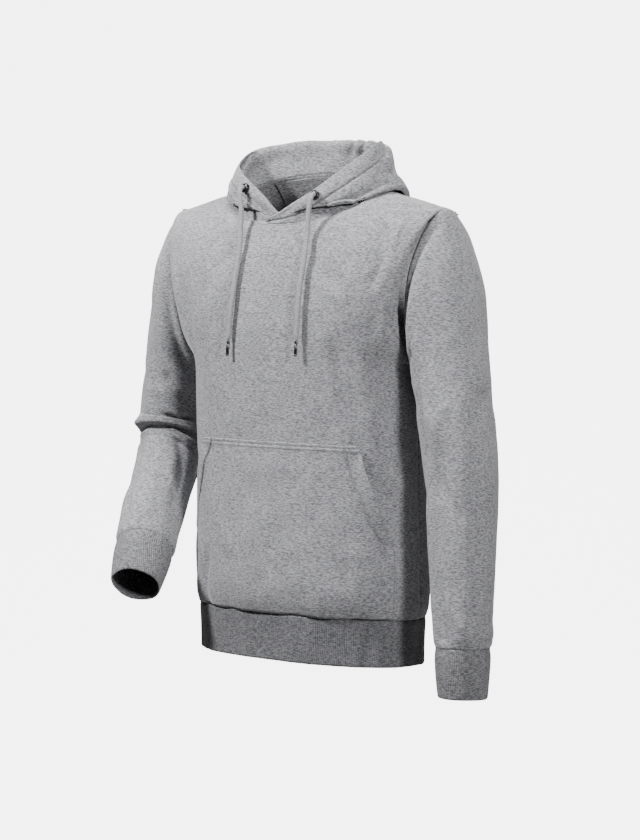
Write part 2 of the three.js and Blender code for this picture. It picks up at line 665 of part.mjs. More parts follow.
function tipGeometry(route) {
  const end = new THREE.Vector3(...route[route.length - 1]);
  const direction = end.clone().sub(new THREE.Vector3(...route[route.length - 2])).normalize();
  const start = end.clone().addScaledVector(direction, SEAM_GAP);
  const path = new THREE.LineCurve3(start, start.clone().addScaledVector(direction, TIP.length));
  return new THREE.ExtrudeGeometry(cordSection(2 * TIP.radius, TIP.sides), {
    steps: 1,
    extrudePath: path,
    curveSegments: 1,
  });
}

// Assembly

const hoodie = new THREE.Group();
const finishes = {
  body: { color: GREY, roughness: 0.95, metalness: 0 },
  rib: { color: RIB_GREY, roughness: 0.9, metalness: 0 },
  cord: { color: CORD_GREY, roughness: 0.9, metalness: 0 },
  metal: { color: GUNMETAL, roughness: 0.35, metalness: 1 },
};

function addPiece(name, geometry, finish) {
  const mesh = new THREE.Mesh(geometry, new THREE.MeshStandardMaterial(finishes[finish]));
  mesh.name = name;
  hoodie.add(mesh);
}

const bodyReference = fineBody();
const sewn = [
  bodyPanel("front_panel", -1),
  bodyPanel("back_panel", 1),
  hemRib(),
  ...sleeveSheets("left", LEFT_SLEEVE, 1, LEFT_SLEEVE_FOLDS),
  ...sleeveSheets("right", RIGHT_SLEEVE, -1, RIGHT_SLEEVE_FOLDS),
  hoodSheet("left", 1, bodyReference),
  hoodSheet("right", -1, bodyReference),
];
sewTogether(sewn);
for (const sheet of sewn) addPiece(sheet.name, sheetGeometry(sheet), sheet.group === "rib" ? "rib" : "body");
for (const sheet of [pocketSheet(), facingSheet()]) addPiece(sheet.name, sheetGeometry(sheet), "body");

for (const [label, side, route] of [["left", 1, LEFT_CORD], ["right", -1, RIGHT_CORD]]) {
  addPiece(`eyelet_${label}`, eyeletGeometry(side), "metal");
  addPiece(`cord_${label}`, cordGeometry(route), "cord");
  addPiece(`cord_tip_${label}`, tipGeometry(route), "metal");
}

export default hoodie;
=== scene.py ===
# %% [markdown]
# # A grey pullover hoodie, filled out with nobody in it
# The garment is a set of cut and sewn pieces of brushed sweatshirt knit: a front and a back, two
# sleeves, two halves of a hood, a pouch pocket, a half-moon neck facing, and ribs at hem and cuffs.
# Each piece is a surface worked out from sizes, as a function of two parameters on a grid, and then
# given the thickness of the cloth. Lengths in the formulas are millimetres, and meshes are metres.

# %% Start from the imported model
import math

import bpy
import numpy as np
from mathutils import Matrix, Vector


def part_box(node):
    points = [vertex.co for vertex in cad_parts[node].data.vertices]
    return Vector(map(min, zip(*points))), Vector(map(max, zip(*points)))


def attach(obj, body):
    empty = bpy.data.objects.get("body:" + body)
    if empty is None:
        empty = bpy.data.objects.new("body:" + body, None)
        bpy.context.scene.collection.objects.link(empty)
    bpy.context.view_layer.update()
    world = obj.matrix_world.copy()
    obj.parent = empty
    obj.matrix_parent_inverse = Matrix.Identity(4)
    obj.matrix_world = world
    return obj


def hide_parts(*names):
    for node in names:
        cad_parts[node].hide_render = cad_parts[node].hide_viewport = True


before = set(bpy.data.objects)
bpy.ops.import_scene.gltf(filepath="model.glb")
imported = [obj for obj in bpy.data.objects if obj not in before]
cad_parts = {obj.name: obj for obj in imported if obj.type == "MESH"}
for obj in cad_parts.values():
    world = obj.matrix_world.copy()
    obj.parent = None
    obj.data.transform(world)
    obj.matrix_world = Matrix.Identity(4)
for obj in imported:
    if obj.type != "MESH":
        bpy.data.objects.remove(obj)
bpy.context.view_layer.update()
MM = 0.001

# %% [markdown]
# ## Camera
# The photo was taken from the garment's left front, level, and from a few metres away: its uprights
# stay parallel. A camera could be moved by eye until it fits. A level camera at a set angle and
# distance has only its lens left to find, and the photo's scale at the garment's axis gives that.

# %% Camera
AZIMUTH = math.radians(35)
CAMERA_AWAY = 3.5
EYE_HEIGHT = -0.337
LENS = 102.74
IMAGE_RIGHT = np.array([math.cos(AZIMUTH), math.sin(AZIMUTH), 0.0])
TOWARDS_CAMERA = np.array([math.sin(AZIMUTH), -math.cos(AZIMUTH), 0.0])
UP = np.array([0.0, 0.0, 1.0])
SIDE_STEP = 0.00876

camera_data = bpy.data.cameras.new("camera")
camera_data.lens = LENS
camera_data.clip_end = 50
camera = bpy.data.objects.new("camera", camera_data)
camera.location = TOWARDS_CAMERA * CAMERA_AWAY + IMAGE_RIGHT * SIDE_STEP
camera.location.z = EYE_HEIGHT
camera.rotation_euler = (math.radians(90), 0, AZIMUTH)
bpy.context.scene.collection.objects.link(camera)
bpy.context.scene.camera = camera
print("camera at", [round(v, 3) for v in camera.location])

# %% [markdown]
# ## Tools for surfaces
# A garment could be draped by a cloth simulation or shaped by hand. Here each piece is a surface
# worked out from sizes, so that seams meet exactly and a size can be changed later. A table gives
# sizes at a few stations, and a smooth curve is read through them. A surface is a grid of points
# (columns by rows). Its normals come from the differences between neighbours, and a shell joins the
# grid with the same grid moved in by the cloth's thickness.

# %% Tables and curves


def columns(names, rows):
    """A short table as a dict of arrays, one for each named column."""
    return dict(zip(names.split(), np.array(rows, float).T))


def mix(a, b, t):
    """a where t is 0, b where t is 1, and even steps between them."""
    return a + (b - a) * t


def ease(x, low, high):
    """0 below low, 1 above high and an S between them."""
    t = np.clip((x - low) / (high - low), 0, 1)
    return t * t * (3 - 2 * t)


def bell(x, width):
    """1 at 0, falling to about a third at the width and to almost nothing at twice the width."""
    return np.exp(-((x / width) ** 2))


def read(table, key, column, at):
    """Smooth reading of a table's column: a cubic through the stations, with slopes from the neighbours."""
    x = table[key]
    y = table[column]
    slope = np.empty_like(y)
    slope[1:-1] = (y[2:] - y[:-2]) / (x[2:] - x[:-2])
    slope[0] = (y[1] - y[0]) / (x[1] - x[0])
    slope[-1] = (y[-1] - y[-2]) / (x[-1] - x[-2])
    k = np.clip(np.searchsorted(x, at, side="right") - 1, 0, len(x) - 2)
    span = x[k + 1] - x[k]
    t = np.clip((at - x[k]) / span, 0, 1)
    s = t * t * (3 - 2 * t)
    start = (t**3 - 2 * t**2 + t) * span * slope[k]
    return mix(y[k], y[k + 1], s) + start + (t**3 - t**2) * span * slope[k + 1]


def curve_through(points, t):
    """Places and directions at shares t of a curve through points (its last but one axis), whose knots
    are spaced by the square roots of the distances, so that it never loops between uneven points."""
    first = 2 * points[..., :1, :] - points[..., 1:2, :]
    last = 2 * points[..., -1:, :] - points[..., -2:-1, :]
    p = np.concatenate([first, points, last], axis=-2)
    place = np.clip(t, 0, 1) * (points.shape[-2] - 1)
    k = np.minimum(place.astype(int), points.shape[-2] - 2)
    w = (place - k)[:, None]
    a, b, c, d = (p[..., k + n, :] for n in range(4))

    def step(u, v):
        """Square root of the distance between two knots."""
        return np.maximum(np.linalg.norm(v - u, axis=-1, keepdims=True), 1e-6) ** 0.5

    ab, bc, cd = step(a, b), step(b, c), step(c, d)
    into = ((b - a) / ab - (c - a) / (ab + bc) + (c - b) / bc) * bc
    out = ((c - b) / bc - (d - b) / (bc + cd) + (d - c) / cd) * bc
    square = 3 * (c - b) - 2 * into - out
    cube = 2 * (b - c) + into + out
    at = b + into * w + square * w**2 + cube * w**3
    return at, into + 2 * square * w + 3 * cube * w**2


def unit(v):
    """Vectors brought to length 1."""
    return v / np.maximum(np.linalg.norm(v, axis=-1, keepdims=True), 1e-9)


HALFWAY = read(columns("x y", [[0, 0], [1, 1], [2, 4]]), "x", "y", np.array([1.5]))
print("a table with 0, 1 and 4 at 0, 1 and 2 gives at 1.5:", round(float(HALFWAY[0]), 3))

# %% Grids and their edges


def normals_of(points, closed=False, flip=False):
    """Outward directions of a grid, from the steps between its neighbours."""
    if closed:
        along = np.roll(points, -1, 0) - np.roll(points, 1, 0)
    else:
        along = np.gradient(points, axis=0)
    return unit(np.cross(along, np.gradient(points, axis=1))) * (-1 if flip else 1)


def from_edge(points, edge):
    """Distance over the cloth of each point from one edge of its grid."""
    axis = 0 if edge in ("start", "end") else 1
    steps = np.linalg.norm(np.diff(points, axis=axis), axis=-1)
    run = np.insert(np.cumsum(steps, axis=axis), 0, 0, axis=axis)
    if edge in ("start", "bottom"):
        return run
    return run.take([-1], axis=axis) - run


def sink(points, normals, edges, depth=1.3, width=2.8, pucker=0.5, closed=False):
    """The cloth dips towards a sewn edge and is drawn into small puckers beside it."""
    moved = np.zeros(points.shape[:2])
    for edge in edges:
        axis = 0 if edge in ("start", "end") else 1
        away = from_edge(points, edge)
        other = from_edge(points, "bottom" if axis == 0 else "start")
        wave = np.sin(other / 3.1 + 1.7 * np.sin(other / 23)) * (0.6 + 0.4 * np.sin(other / 41 + 2))
        dip = depth * bell(away, width) + pucker * wave * bell(away - 5, 6)
        moved -= dip if closed else dip * corner_fade(points, edge)
    return points + normals * moved[..., None]


def corner_fade(points, edge):
    """0 at the ends of an edge, where three pieces meet, and 1 a little further on."""
    ends = ("bottom", "top") if edge in ("start", "end") else ("start", "end")
    return ease(np.minimum(from_edge(points, ends[0]), from_edge(points, ends[1])), 0, 9)


SAMPLE = np.stack([*np.meshgrid(np.arange(4.0), np.arange(3.0), indexing="ij"), np.zeros((4, 3))], -1)
print("from the bottom edge of a grid of 4 by 3:", from_edge(SAMPLE, "bottom")[0])

# %% [markdown]
# A mesh could be built face by face. Here a grid's vertices and quads go in as whole arrays. The cloth
# coordinates are distances over the cloth in metres, so a knit pattern keeps its size on every piece.

# %% Meshes and shells


def make_mesh(name, vertices, quads, uv=None):
    """A smooth mesh in metres from vertices in millimetres and quads."""
    mesh = bpy.data.meshes.new(name)
    mesh.vertices.add(len(vertices))
    mesh.vertices.foreach_set("co", (vertices * MM).astype(np.float32).ravel())
    corners = quads.astype(np.int32).ravel()
    mesh.loops.add(len(corners))
    mesh.loops.foreach_set("vertex_index", corners)
    mesh.polygons.add(len(quads))
    mesh.polygons.foreach_set("loop_start", np.arange(0, len(corners), 4, dtype=np.int32))
    mesh.polygons.foreach_set("use_smooth", np.ones(len(quads), bool))
    if uv is not None:
        layer = mesh.uv_layers.new(name="cloth")
        layer.data.foreach_set("uv", uv[corners].astype(np.float32).ravel())
    mesh.update(calc_edges=True)
    mesh.validate()
    piece = bpy.data.objects.new(name, mesh)
    bpy.context.scene.collection.objects.link(piece)
    return piece


def grid_quads(n, m, closed, flip, looped=False):
    """Quads of a grid of n columns and m rows. The last column meets the first if it is closed, and
    the last row meets the first if it is looped."""
    i, j = np.meshgrid(np.arange(n if closed else n - 1), np.arange(m if looped else m - 1), indexing="ij")
    after, above = (i + 1) % n, (j + 1) % m
    quads = np.stack([i * m + j, after * m + j, after * m + above, i * m + above], -1).reshape(-1, 4)
    return quads[:, ::-1] if flip else quads


def shell(name, points, normals, thickness, closed=False, flip=False, open_edges=(), uv=None):
    """Cloth between a grid and the same grid moved in. It thins towards open edges, which look folded."""
    n, m = points.shape[:2]
    depth = np.full((n, m), float(thickness))
    outer = points.copy()
    for edge in open_edges:
        thin = bell(from_edge(points, edge), 1.6)
        outer -= normals * (0.3 * thickness * thin)[..., None]
        depth *= 1 - 0.6 * thin
    inner = outer - normals * depth[..., None]
    front = grid_quads(n, m, closed, flip)
    back = grid_quads(n, m, closed, not flip) + n * m
    rims = []
    along = np.arange(n if closed else n - 1) * m
    for row, turn in ((0, flip), (m - 1, not flip)):
        a = along + row
        b = (a + m) % (n * m)
        rim = np.stack([b, a, a + n * m, b + n * m], -1)
        rims.append(rim[:, ::-1] if turn else rim)
    if not closed:
        up = np.arange(m - 1)
        for column, turn in ((0, not flip), (n - 1, flip)):
            a = up + column * m
            rim = np.stack([a + 1, a, a + n * m, a + 1 + n * m], -1)
            rims.append(rim[:, ::-1] if turn else rim)
    vertices = np.concatenate([outer.reshape(-1, 3), inner.reshape(-1, 3)])
    if uv is None:
        uv = np.stack([from_edge(points, "start"), from_edge(points, "bottom")], -1) * MM
    uv = np.tile(uv.reshape(-1, 2), (2, 1))
    return make_mesh(name, vertices, np.concatenate([front, back, *rims]), uv)


def dress(piece, node, material):
    """The piece stands for its solid, moves with it and takes its material."""
    piece.data.materials.append(material)
    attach(piece, "root")
    if node:
        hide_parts(node)
    return piece


print("a closed grid of 4 by 5 has", len(grid_quads(4, 5, True, False)), "faces")

# %% [markdown]
# Real cloth is nowhere even, and it bends into creases with soft ends. A texture could fake them, but
# their outline and shadow would be missing. So low waves run through all pieces alike, and each
# crease is a bell across a bowed line.

# %% Unevenness and creases


def lean_over(points):
    """The garment's right side is carried higher, so heights rise towards it."""
    points = points.copy()
    points[..., 2] -= LEAN * points[..., 0]
    return points


def ripple(points, seed, wavelength, height):
    """Slight unevenness that runs over the seams: a few sine waves in space, with seeded directions."""
    draw = np.random.default_rng(seed)
    ways = unit(draw.normal(size=(9, 3)))
    lengths = wavelength * draw.uniform(0.6, 1.7, 9)
    phases = draw.uniform(0, 2 * np.pi, 9)
    waves = np.sin(points @ (ways * 2 * np.pi / lengths[:, None]).T + phases)
    return height * waves.mean(-1) * 2


def uneven(points):
    """The broad and the narrow waves that body and sleeves share."""
    return ripple(points, 5, 90, 0.9) + ripple(points, 6, 38, 0.35)


CREASE = "x0 z0 x1 z1 width height bow"


def creases(table, across, along):
    """Soft ridges (height above 0) and troughs: bells across bowed lines that fade out at their ends."""
    total = np.zeros(np.broadcast(across, along).shape)
    for x0, z0, x1, z1, width, height, bow in zip(*(table[n] for n in CREASE.split())):
        dx, dz = x1 - x0, z1 - z0
        length = math.hypot(dx, dz)
        share = ((across - x0) * dx + (along - z0) * dz) / length**2
        off = ((across - x0) * dz - (along - z0) * dx) / length
        off = off - bow * (1 - (2 * np.clip(share, 0, 1) - 1) ** 2)
        past = np.maximum(0, np.maximum(-share, share - 1)) * length
        total += height * bell(off, width) * bell(past, 1.6 * width)
    return total


RIDGE = columns(CREASE, [[0, 0, 0, 100, 8, 3, 0]])
print("a ridge 3 mm high and 8 mm wide, 8 mm beside its line:", creases(RIDGE, 8.0, 50.0).round(2), "mm")

# %% [markdown]
# ## Materials
# The knit is heather: pale and dark fibres are spun together, so the colour breaks up into short
# level flecks. A picture of cloth would need a flat layout of each piece and would show its joins.
# Noise in the object's own coordinates runs over all seams, so it is used here, stretched level. A
# brushed knit is matt and scatters light in its nap, which the sheen gives. The ribs use the same
# yarn in fine wales, which follow the piece's own cloth coordinates. Their colours are painted darker
# than the fleece's, as painted shade between the wales, and the hem rib's is darker than the cuffs'.

# %% Shader groups and nodes


def group(name, inputs, outputs):
    """An empty shader group with named sockets."""
    tree = bpy.data.node_groups.new(name, "ShaderNodeTree")
    for label, kind, value in inputs:
        socket = tree.interface.new_socket(label, in_out="INPUT", socket_type=kind)
        socket.default_value = value
    for label, kind in outputs:
        tree.interface.new_socket(label, in_out="OUTPUT", socket_type=kind)
    return tree, tree.nodes.new("NodeGroupInput"), tree.nodes.new("NodeGroupOutput")


def node(tree, kind, links=(), **values):
    """A node with its settings, and links from (socket, input name) pairs."""
    made = tree.nodes.new(kind)
    for label, value in values.items():
        setattr(made, label, value)
    for source, target in links:
        if hasattr(source, "is_output"):
            tree.links.new(source, made.inputs[target])
        else:
            made.inputs[target].default_value = source
    return made


print("node groups so far:", len(bpy.data.node_groups))

# %% [markdown]
# Two effects are used by more than one finish, so each is a group: heather gives the colour and the
# nap's height, and wales gives the ridges of a rib.

# %% Heather and wales
FLECKS_A_METRE = 210
FLECK_STRETCH = (1, 1, 3.6)
FLECK_ROUGHNESS = 0.7
FLECK_DARKEST = 0.44
FLECK_PALEST = 0.71
PATCHES_A_METRE = 120
PATCH_SHARE = 0.15
GRAINS_A_METRE = 900
NAP_HEIGHT = 0.0006


def heather_group():
    """Flecks: noise stretched level, sharpened, and mixed between a pale and a dark yarn."""
    tree, given, result = group(
        "heather",
        [
            ("Pale", "NodeSocketColor", (0.4, 0.4, 0.42, 1)),
            ("Dark", "NodeSocketColor", (0.15, 0.15, 0.16, 1)),
            ("Fleck size", "NodeSocketFloat", 1.0),
        ],
        [("Color", "NodeSocketColor"), ("Height", "NodeSocketFloat")],
    )
    place = node(tree, "ShaderNodeTexCoord").outputs["Object"]
    sized = [(place, 0), (given.outputs["Fleck size"], "Scale")]
    size = node(tree, "ShaderNodeVectorMath", sized, operation="SCALE")
    stretched = [(size.outputs[0], 0), (FLECK_STRETCH, 1)]
    flat = node(tree, "ShaderNodeVectorMath", stretched, operation="MULTIPLY")
    noise = [(flat.outputs[0], "Vector"), (2, "Detail")]
    fine = [(FLECKS_A_METRE, "Scale"), (FLECK_ROUGHNESS, "Roughness")]
    fleck = node(tree, "ShaderNodeTexNoise", [*noise, *fine])
    broad = node(tree, "ShaderNodeTexNoise", [*noise, (PATCHES_A_METRE, "Scale")])
    soft = node(tree, "ShaderNodeMath", [(broad.outputs["Fac"], 0), (PATCH_SHARE, 1)], operation="MULTIPLY")
    both = node(tree, "ShaderNodeMath", [(fleck.outputs["Fac"], 0), (soft.outputs[0], 1)], operation="ADD")
    span = [(FLECK_DARKEST, "From Min"), (FLECK_PALEST, "From Max")]
    ramp = node(tree, "ShaderNodeMapRange", [(both.outputs[0], "Value"), *span])
    tone = node(
        tree,
        "ShaderNodeMix",
        [(ramp.outputs[0], "Factor"), (given.outputs["Dark"], "A"), (given.outputs["Pale"], "B")],
        data_type="RGBA",
    )
    # A mix node keeps a socket of each name for every data type, so the colour ones are found by kind.
    for label, source in (("A", given.outputs["Dark"]), ("B", given.outputs["Pale"])):
        target = next(s for s in tone.inputs if s.name == label and s.type == "RGBA")
        tree.links.new(source, target)
    grains = [(size.outputs[0], "Vector"), (GRAINS_A_METRE, "Scale"), (3, "Detail")]
    grain = node(tree, "ShaderNodeTexNoise", grains)
    colour = next(s for s in tone.outputs if s.type == "RGBA")
    tree.links.new(colour, result.inputs["Color"])
    tree.links.new(grain.outputs["Fac"], result.inputs["Height"])
    return tree


def wales_group():
    """Upright ridges of a rib: a sine over the cloth's own width, from the mesh's coordinates."""
    tree, given, result = group(
        "wales", [("Spacing", "NodeSocketFloat", 0.0032)], [("Height", "NodeSocketFloat")]
    )
    place = node(tree, "ShaderNodeUVMap", uv_map="cloth").outputs[0]
    split = node(tree, "ShaderNodeSeparateXYZ", [(place, 0)])
    spaced = [(split.outputs[0], 0), (given.outputs["Spacing"], 1)]
    turn = node(tree, "ShaderNodeMath", spaced, operation="DIVIDE")
    full = node(tree, "ShaderNodeMath", [(turn.outputs[0], 0), (2 * math.pi, 1)], operation="MULTIPLY")
    wave = node(tree, "ShaderNodeMath", [(full.outputs[0], 0)], operation="SINE")
    tree.links.new(wave.outputs[0], result.inputs["Height"])
    return tree


HEATHER = heather_group()
WALES = wales_group()
print("nodes in heather and wales:", len(HEATHER.nodes), len(WALES.nodes))

# %% Finishes


def cloth_material(name, pale, dark, relief, fleck_size=1.0, sheen=0.35, wales=0.0):
    """Matt knit: heather colour, a fine nap as bump, and wales where it is a rib."""
    material = bpy.data.materials.new(name)
    material.use_nodes = True
    tree = material.node_tree
    surface = tree.nodes["Principled BSDF"]
    heather = node(tree, "ShaderNodeGroup", node_tree=HEATHER)
    heather.inputs["Pale"].default_value = (*pale, 1)
    heather.inputs["Dark"].default_value = (*dark, 1)
    heather.inputs["Fleck size"].default_value = fleck_size
    tree.links.new(heather.outputs["Color"], surface.inputs["Base Color"])
    nap = [(heather.outputs["Height"], "Height"), (relief, "Strength"), (NAP_HEIGHT, "Distance")]
    bump = node(tree, "ShaderNodeBump", nap)
    if wales:
        ridges = node(tree, "ShaderNodeGroup", node_tree=WALES)
        ribbed = [(ridges.outputs["Height"], "Height"), (wales, "Strength"), (NAP_HEIGHT, "Distance")]
        over = node(tree, "ShaderNodeBump", ribbed)
        tree.links.new(bump.outputs[0], over.inputs["Normal"])
        bump = over
    tree.links.new(bump.outputs[0], surface.inputs["Normal"])
    surface.inputs["Roughness"].default_value = 0.92
    surface.inputs["Sheen Weight"].default_value = sheen
    surface.inputs["Sheen Roughness"].default_value = 0.55
    surface.inputs["Specular IOR Level"].default_value = 0.25
    return material


def metal_material(name, colour, roughness):
    """Plain metal of one colour and roughness."""
    material = bpy.data.materials.new(name)
    material.use_nodes = True
    surface = material.node_tree.nodes["Principled BSDF"]
    surface.inputs["Base Color"].default_value = (*colour, 1)
    surface.inputs["Metallic"].default_value = 1
    surface.inputs["Roughness"].default_value = roughness
    return material


fleece = cloth_material("fleece", (0.255, 0.255, 0.265), (0.075, 0.075, 0.083), 0.35, sheen=0.22)
# Painted shade: the ribs are the fleece's yarn painted darker, the hem rib more than the cuffs.
rib_knit = cloth_material("rib_knit", (0.15, 0.15, 0.158), (0.04, 0.04, 0.044), 0.25, sheen=0.08, wales=0.6)
cuff_knit = cloth_material(
    "cuff_knit", (0.195, 0.195, 0.203), (0.055, 0.055, 0.06), 0.25, sheen=0.08, wales=0.6
)
cord_knit = cloth_material(
    "cord_knit", (0.25, 0.25, 0.257), (0.12, 0.12, 0.125), 0.5, fleck_size=1.6, sheen=0.08
)
thread = cloth_material("thread", (0.17, 0.17, 0.178), (0.1, 0.1, 0.105), 0.1, fleck_size=2.0, sheen=0.05)
gunmetal = metal_material("gunmetal", (0.055, 0.055, 0.06), 0.3)
print("materials:", [m.name for m in bpy.data.materials])

# %% [markdown]
# ## Sizes of the cut
# These are the driving sizes of the pattern. The body is read by height; the neck seam is an ellipse
# that rises to the nape; the armhole is an oval on its side. The sleeves follow a centre line.

# %% Sizes
LEAN = 0.048
CLOTH = 2.2
RIB_CLOTH = 2.6
NECK_HALF_WIDTH = 118
NECK_FRONT = 92
NECK_BACK = 47
NECK_RISE = 0.59
NECK_FADE = 0.9
SHOULDER_TIP = (233, -30)
NECK_SHARE = NECK_HALF_WIDTH / SHOULDER_TIP[0]
ARMHOLE_BASE = 205
ARMHOLE_FLARE = 24
ARMHOLE_WAIST = 4
ARMHOLE_DEPTH = 72
ARMPIT = -250
CHEST_ROUNDNESS = 2.4
YOKE_ROUNDNESS = 2.4
CHEST_SLOPE = 2.6
BACK_FULLNESS = 10
SHOULDER_CURVE = 1.15
HEM_SEAM = -611
RIB_HEIGHT = 66

BODY = columns(
    "z side front back",
    [
        [-611, 179, 119, 92],
        [-590, 184, 126, 97],
        [-530, 185, 127, 96],
        [-430, 182, 123, 91],
        [-330, 182, 125, 97],
        [-250, 185, 128, 106],
    ],
)
LEFT_SLEEVE = columns(
    "x y z out fore",
    [
        [244, -12, -272, 54, 62],
        [253, -18, -318, 51, 60],
        [267, -24, -407, 48, 55],
        [272, -30, -497, 45, 51],
        [276, -36, -587, 41, 46],
        [278, -38, -638, 38, 43],
        [279, -39, -707, 33, 39],
    ],
)
RIGHT_SLEEVE = columns(
    "x y z out fore",
    [
        [245, -2, -272, 54, 62],
        [253, 0, -318, 53, 58],
        [258, 0, -354, 52, 57],
        [254, -16, -392, 50, 51],
        [244, -42, -428, 48, 48],
        [228, -88, -479, 47, 47],
        [204, -140, -534, 43, 43],
        [185, -184, -583, 36, 36],
    ],
)
HOOD = columns(
    "angle stand crease roll out rise belly edge right lean",
    [
        [-9, 2, 0, 3, 0, 5, 0, 7, 8, 0],
        [0, 6, 0, 7, 0, 10, 0, 14, 17, 0],
        [13, 13, 0, 14, 0.4, 20, 0.4, 28, 38, 0],
        [27, 21, -2, 16, 6, 28, 6, 41, 53, 0],
        [45, 26, -2, 11, 9, 32, 7, 57, 60, 0],
        [65, 36, -1, 2, 15, 34, 9, 68, 60, 0],
        [85, 47, 0, -3, 21, 30, 9, 72, 58, -1],
        [105, 50, 1, -12, 28, 18, 10, 61, 53, 0],
        [125, 50, 1, -30, 40, 0, 21, 44, 41, 8],
        [145, 49, 2, -85, 58, -36, 52, 32, 30, 28],
        [165, 48, 2, -150, 74, -75, 76, 22, 22, 40],
        [180, 48, 2, -168, 80, -85, 84, 19, 19, 44],
    ],
)


def neck_point(angle):
    """The neck seam at an angle from the front centre."""
    a = np.radians(angle)
    y = -np.where(np.cos(a) > 0, NECK_FRONT, NECK_BACK) * np.cos(a)
    return np.stack([NECK_HALF_WIDTH * np.sin(a), y, NECK_RISE * y], -1)


def armhole_point(angle):
    """The armhole seam: 0 at the shoulder tip, 90 at the front, 180 at the armpit."""
    a = np.radians(angle)
    c = np.cos(a)
    x = ARMHOLE_BASE + ARMHOLE_FLARE * c + ARMHOLE_WAIST * (2 * c * c - 1)
    z = mix(ARMPIT, SHOULDER_TIP[1], (1 + c) / 2)
    return np.stack([x, -ARMHOLE_DEPTH * np.sin(a), z], -1)


# %% [markdown]
# ## Drawcords, tips and eyelets
# A flat knitted cord leaves the tunnel of the hood through a metal eyelet on each side and hangs
# down the chest, held by the weight of a metal tip. A bevelled curve would be round and could twist.
# So an oval section is carried along a route of listed points and keeps its flat side forward.

# %% Cords
CORD_WIDTH = 8
CORD_DEPTH = 5.6
CORD_STITCH = 2.4
TIP_OUTLINE = columns(
    "run width",
    [
        [0.4, 0.1], [0.6, 3.9], [1.2, 4.5], [3.6, 4.5], [3.9, 4.05], [4.6, 4.05], [4.9, 4.5],
        [19, 4.4], [19.3, 4.0], [20, 4.0], [20.3, 4.4], [21.6, 4.3], [22.2, 3.6], [22.4, 0.1],
    ],
)
CORD_ROUTES = {
    "left": [
        [63, -87, -19], [64.5, -93, -17.5], [65, -99, -22], [64.3, -102, -33], [63.6, -104, -46],
        [64.3, -109, -76], [67, -120, -112], [66.2, -128, -148], [65, -132, -184], [63.9, -133, -212],
        [63.3, -133.5, -226],
    ],
    "right": [
        [-61.3, -84.3, -2], [-62.8, -91, -1], [-62.5, -97, -6], [-59.5, -100, -18], [-56.5, -102, -32],
        [-53.5, -107, -60], [-49.8, -115, -92], [-49.2, -124, -128], [-51.3, -130, -164],
        [-53.8, -132, -195], [-56, -133, -223],
    ],
}


def swept(name, centres, tangents, widths, depths, sides, facing=(0, -1, 0)):
    """A tube through centres whose oval section keeps its flat side towards facing. Rows of quads
    across its first and last rings close it."""
    side = unit(np.cross(tangents, np.array(facing, float)))
    front = np.cross(side, tangents)
    turn = np.arange(sides) * 2 * np.pi / sides
    ring = np.cos(turn)[None, :, None] * side[:, None] * widths[:, None, None] / 2
    ring = ring + np.sin(turn)[None, :, None] * front[:, None] * depths[:, None, None] / 2
    points = (centres[:, None] + ring).transpose(1, 0, 2)
    around = np.repeat(turn[:, None] / (2 * np.pi), len(centres), 1)
    run = np.insert(np.cumsum(np.linalg.norm(np.diff(centres, axis=0), axis=-1)), 0, 0)
    uv = np.stack([around, np.repeat(run[None] * MM, sides, 0)], -1).reshape(-1, 2)
    k = np.arange(sides // 2 - 1)
    cap = np.stack([k, k + 1, sides - 2 - k, sides - 1 - k], -1) * len(centres)
    quads = [grid_quads(sides, len(centres), True, True), cap, cap[:, ::-1] + len(centres) - 1]
    return make_mesh(name, points.reshape(-1, 3), np.concatenate(quads), uv)


def make_cord(label):
    """A cord along its route, whose width ripples with the knit, and its metal tip."""
    route = np.array(CORD_ROUTES[label], float)
    shares = np.linspace(0, 1, 160)
    centres, tangents = curve_through(route, shares)
    tangents = unit(tangents)
    steps = np.linalg.norm(np.diff(centres, axis=0), axis=-1)
    run = np.insert(np.cumsum(steps), 0, 0)
    knit = 0.12 * np.sin(run * 2 * np.pi / CORD_STITCH)
    # The ends draw in: the start into the eyelet, the end into the metal tip.
    narrow = 1 - 0.98 * bell(run, 0.5) - 0.98 * bell(run[-1] - run, 0.5)
    narrow *= 1 - 0.22 * bell(run, 6) - 0.3 * bell(run[-1] - run, 5)
    widths, depths = (CORD_WIDTH + knit) * narrow, (CORD_DEPTH + knit) * narrow
    cord = swept(f"drawcord_{label}", centres, tangents, widths, depths, 20)
    dress(cord, f"cord_{label}", cord_knit)

    down = tangents[-1]
    tip_centres = centres[-1] + down * TIP_OUTLINE["run"][:, None]
    tip_ways = np.repeat(down[None], len(tip_centres), 0)
    tip = swept(f"aglet_{label}", tip_centres, tip_ways, TIP_OUTLINE["width"], TIP_OUTLINE["width"], 28)
    dress(tip, f"cord_tip_{label}", gunmetal)
    return run[-1]


for label in CORD_ROUTES:
    print("cord", label, "length in mm:", round(make_cord(label), 1))

# %% [markdown]
# An eyelet is a pressed metal ring with a rolled rim, clinched round the hole in the tunnel. A plain
# torus would lack the flat flange, so an outline of eight points is turned about the direction in
# which the cord leaves it.

# %% Eyelets
EYELET_LIFT = 2.4
EYELET_SIDES = 48
EYELET_OUTLINE = columns(
    "radius height",
    [[3.9, -3.5], [3.7, 0.4], [4.1, 1.4], [5.0, 1.8], [6.0, 1.6], [6.9, 0.9], [7.2, 0], [7.0, -3.5]],
)


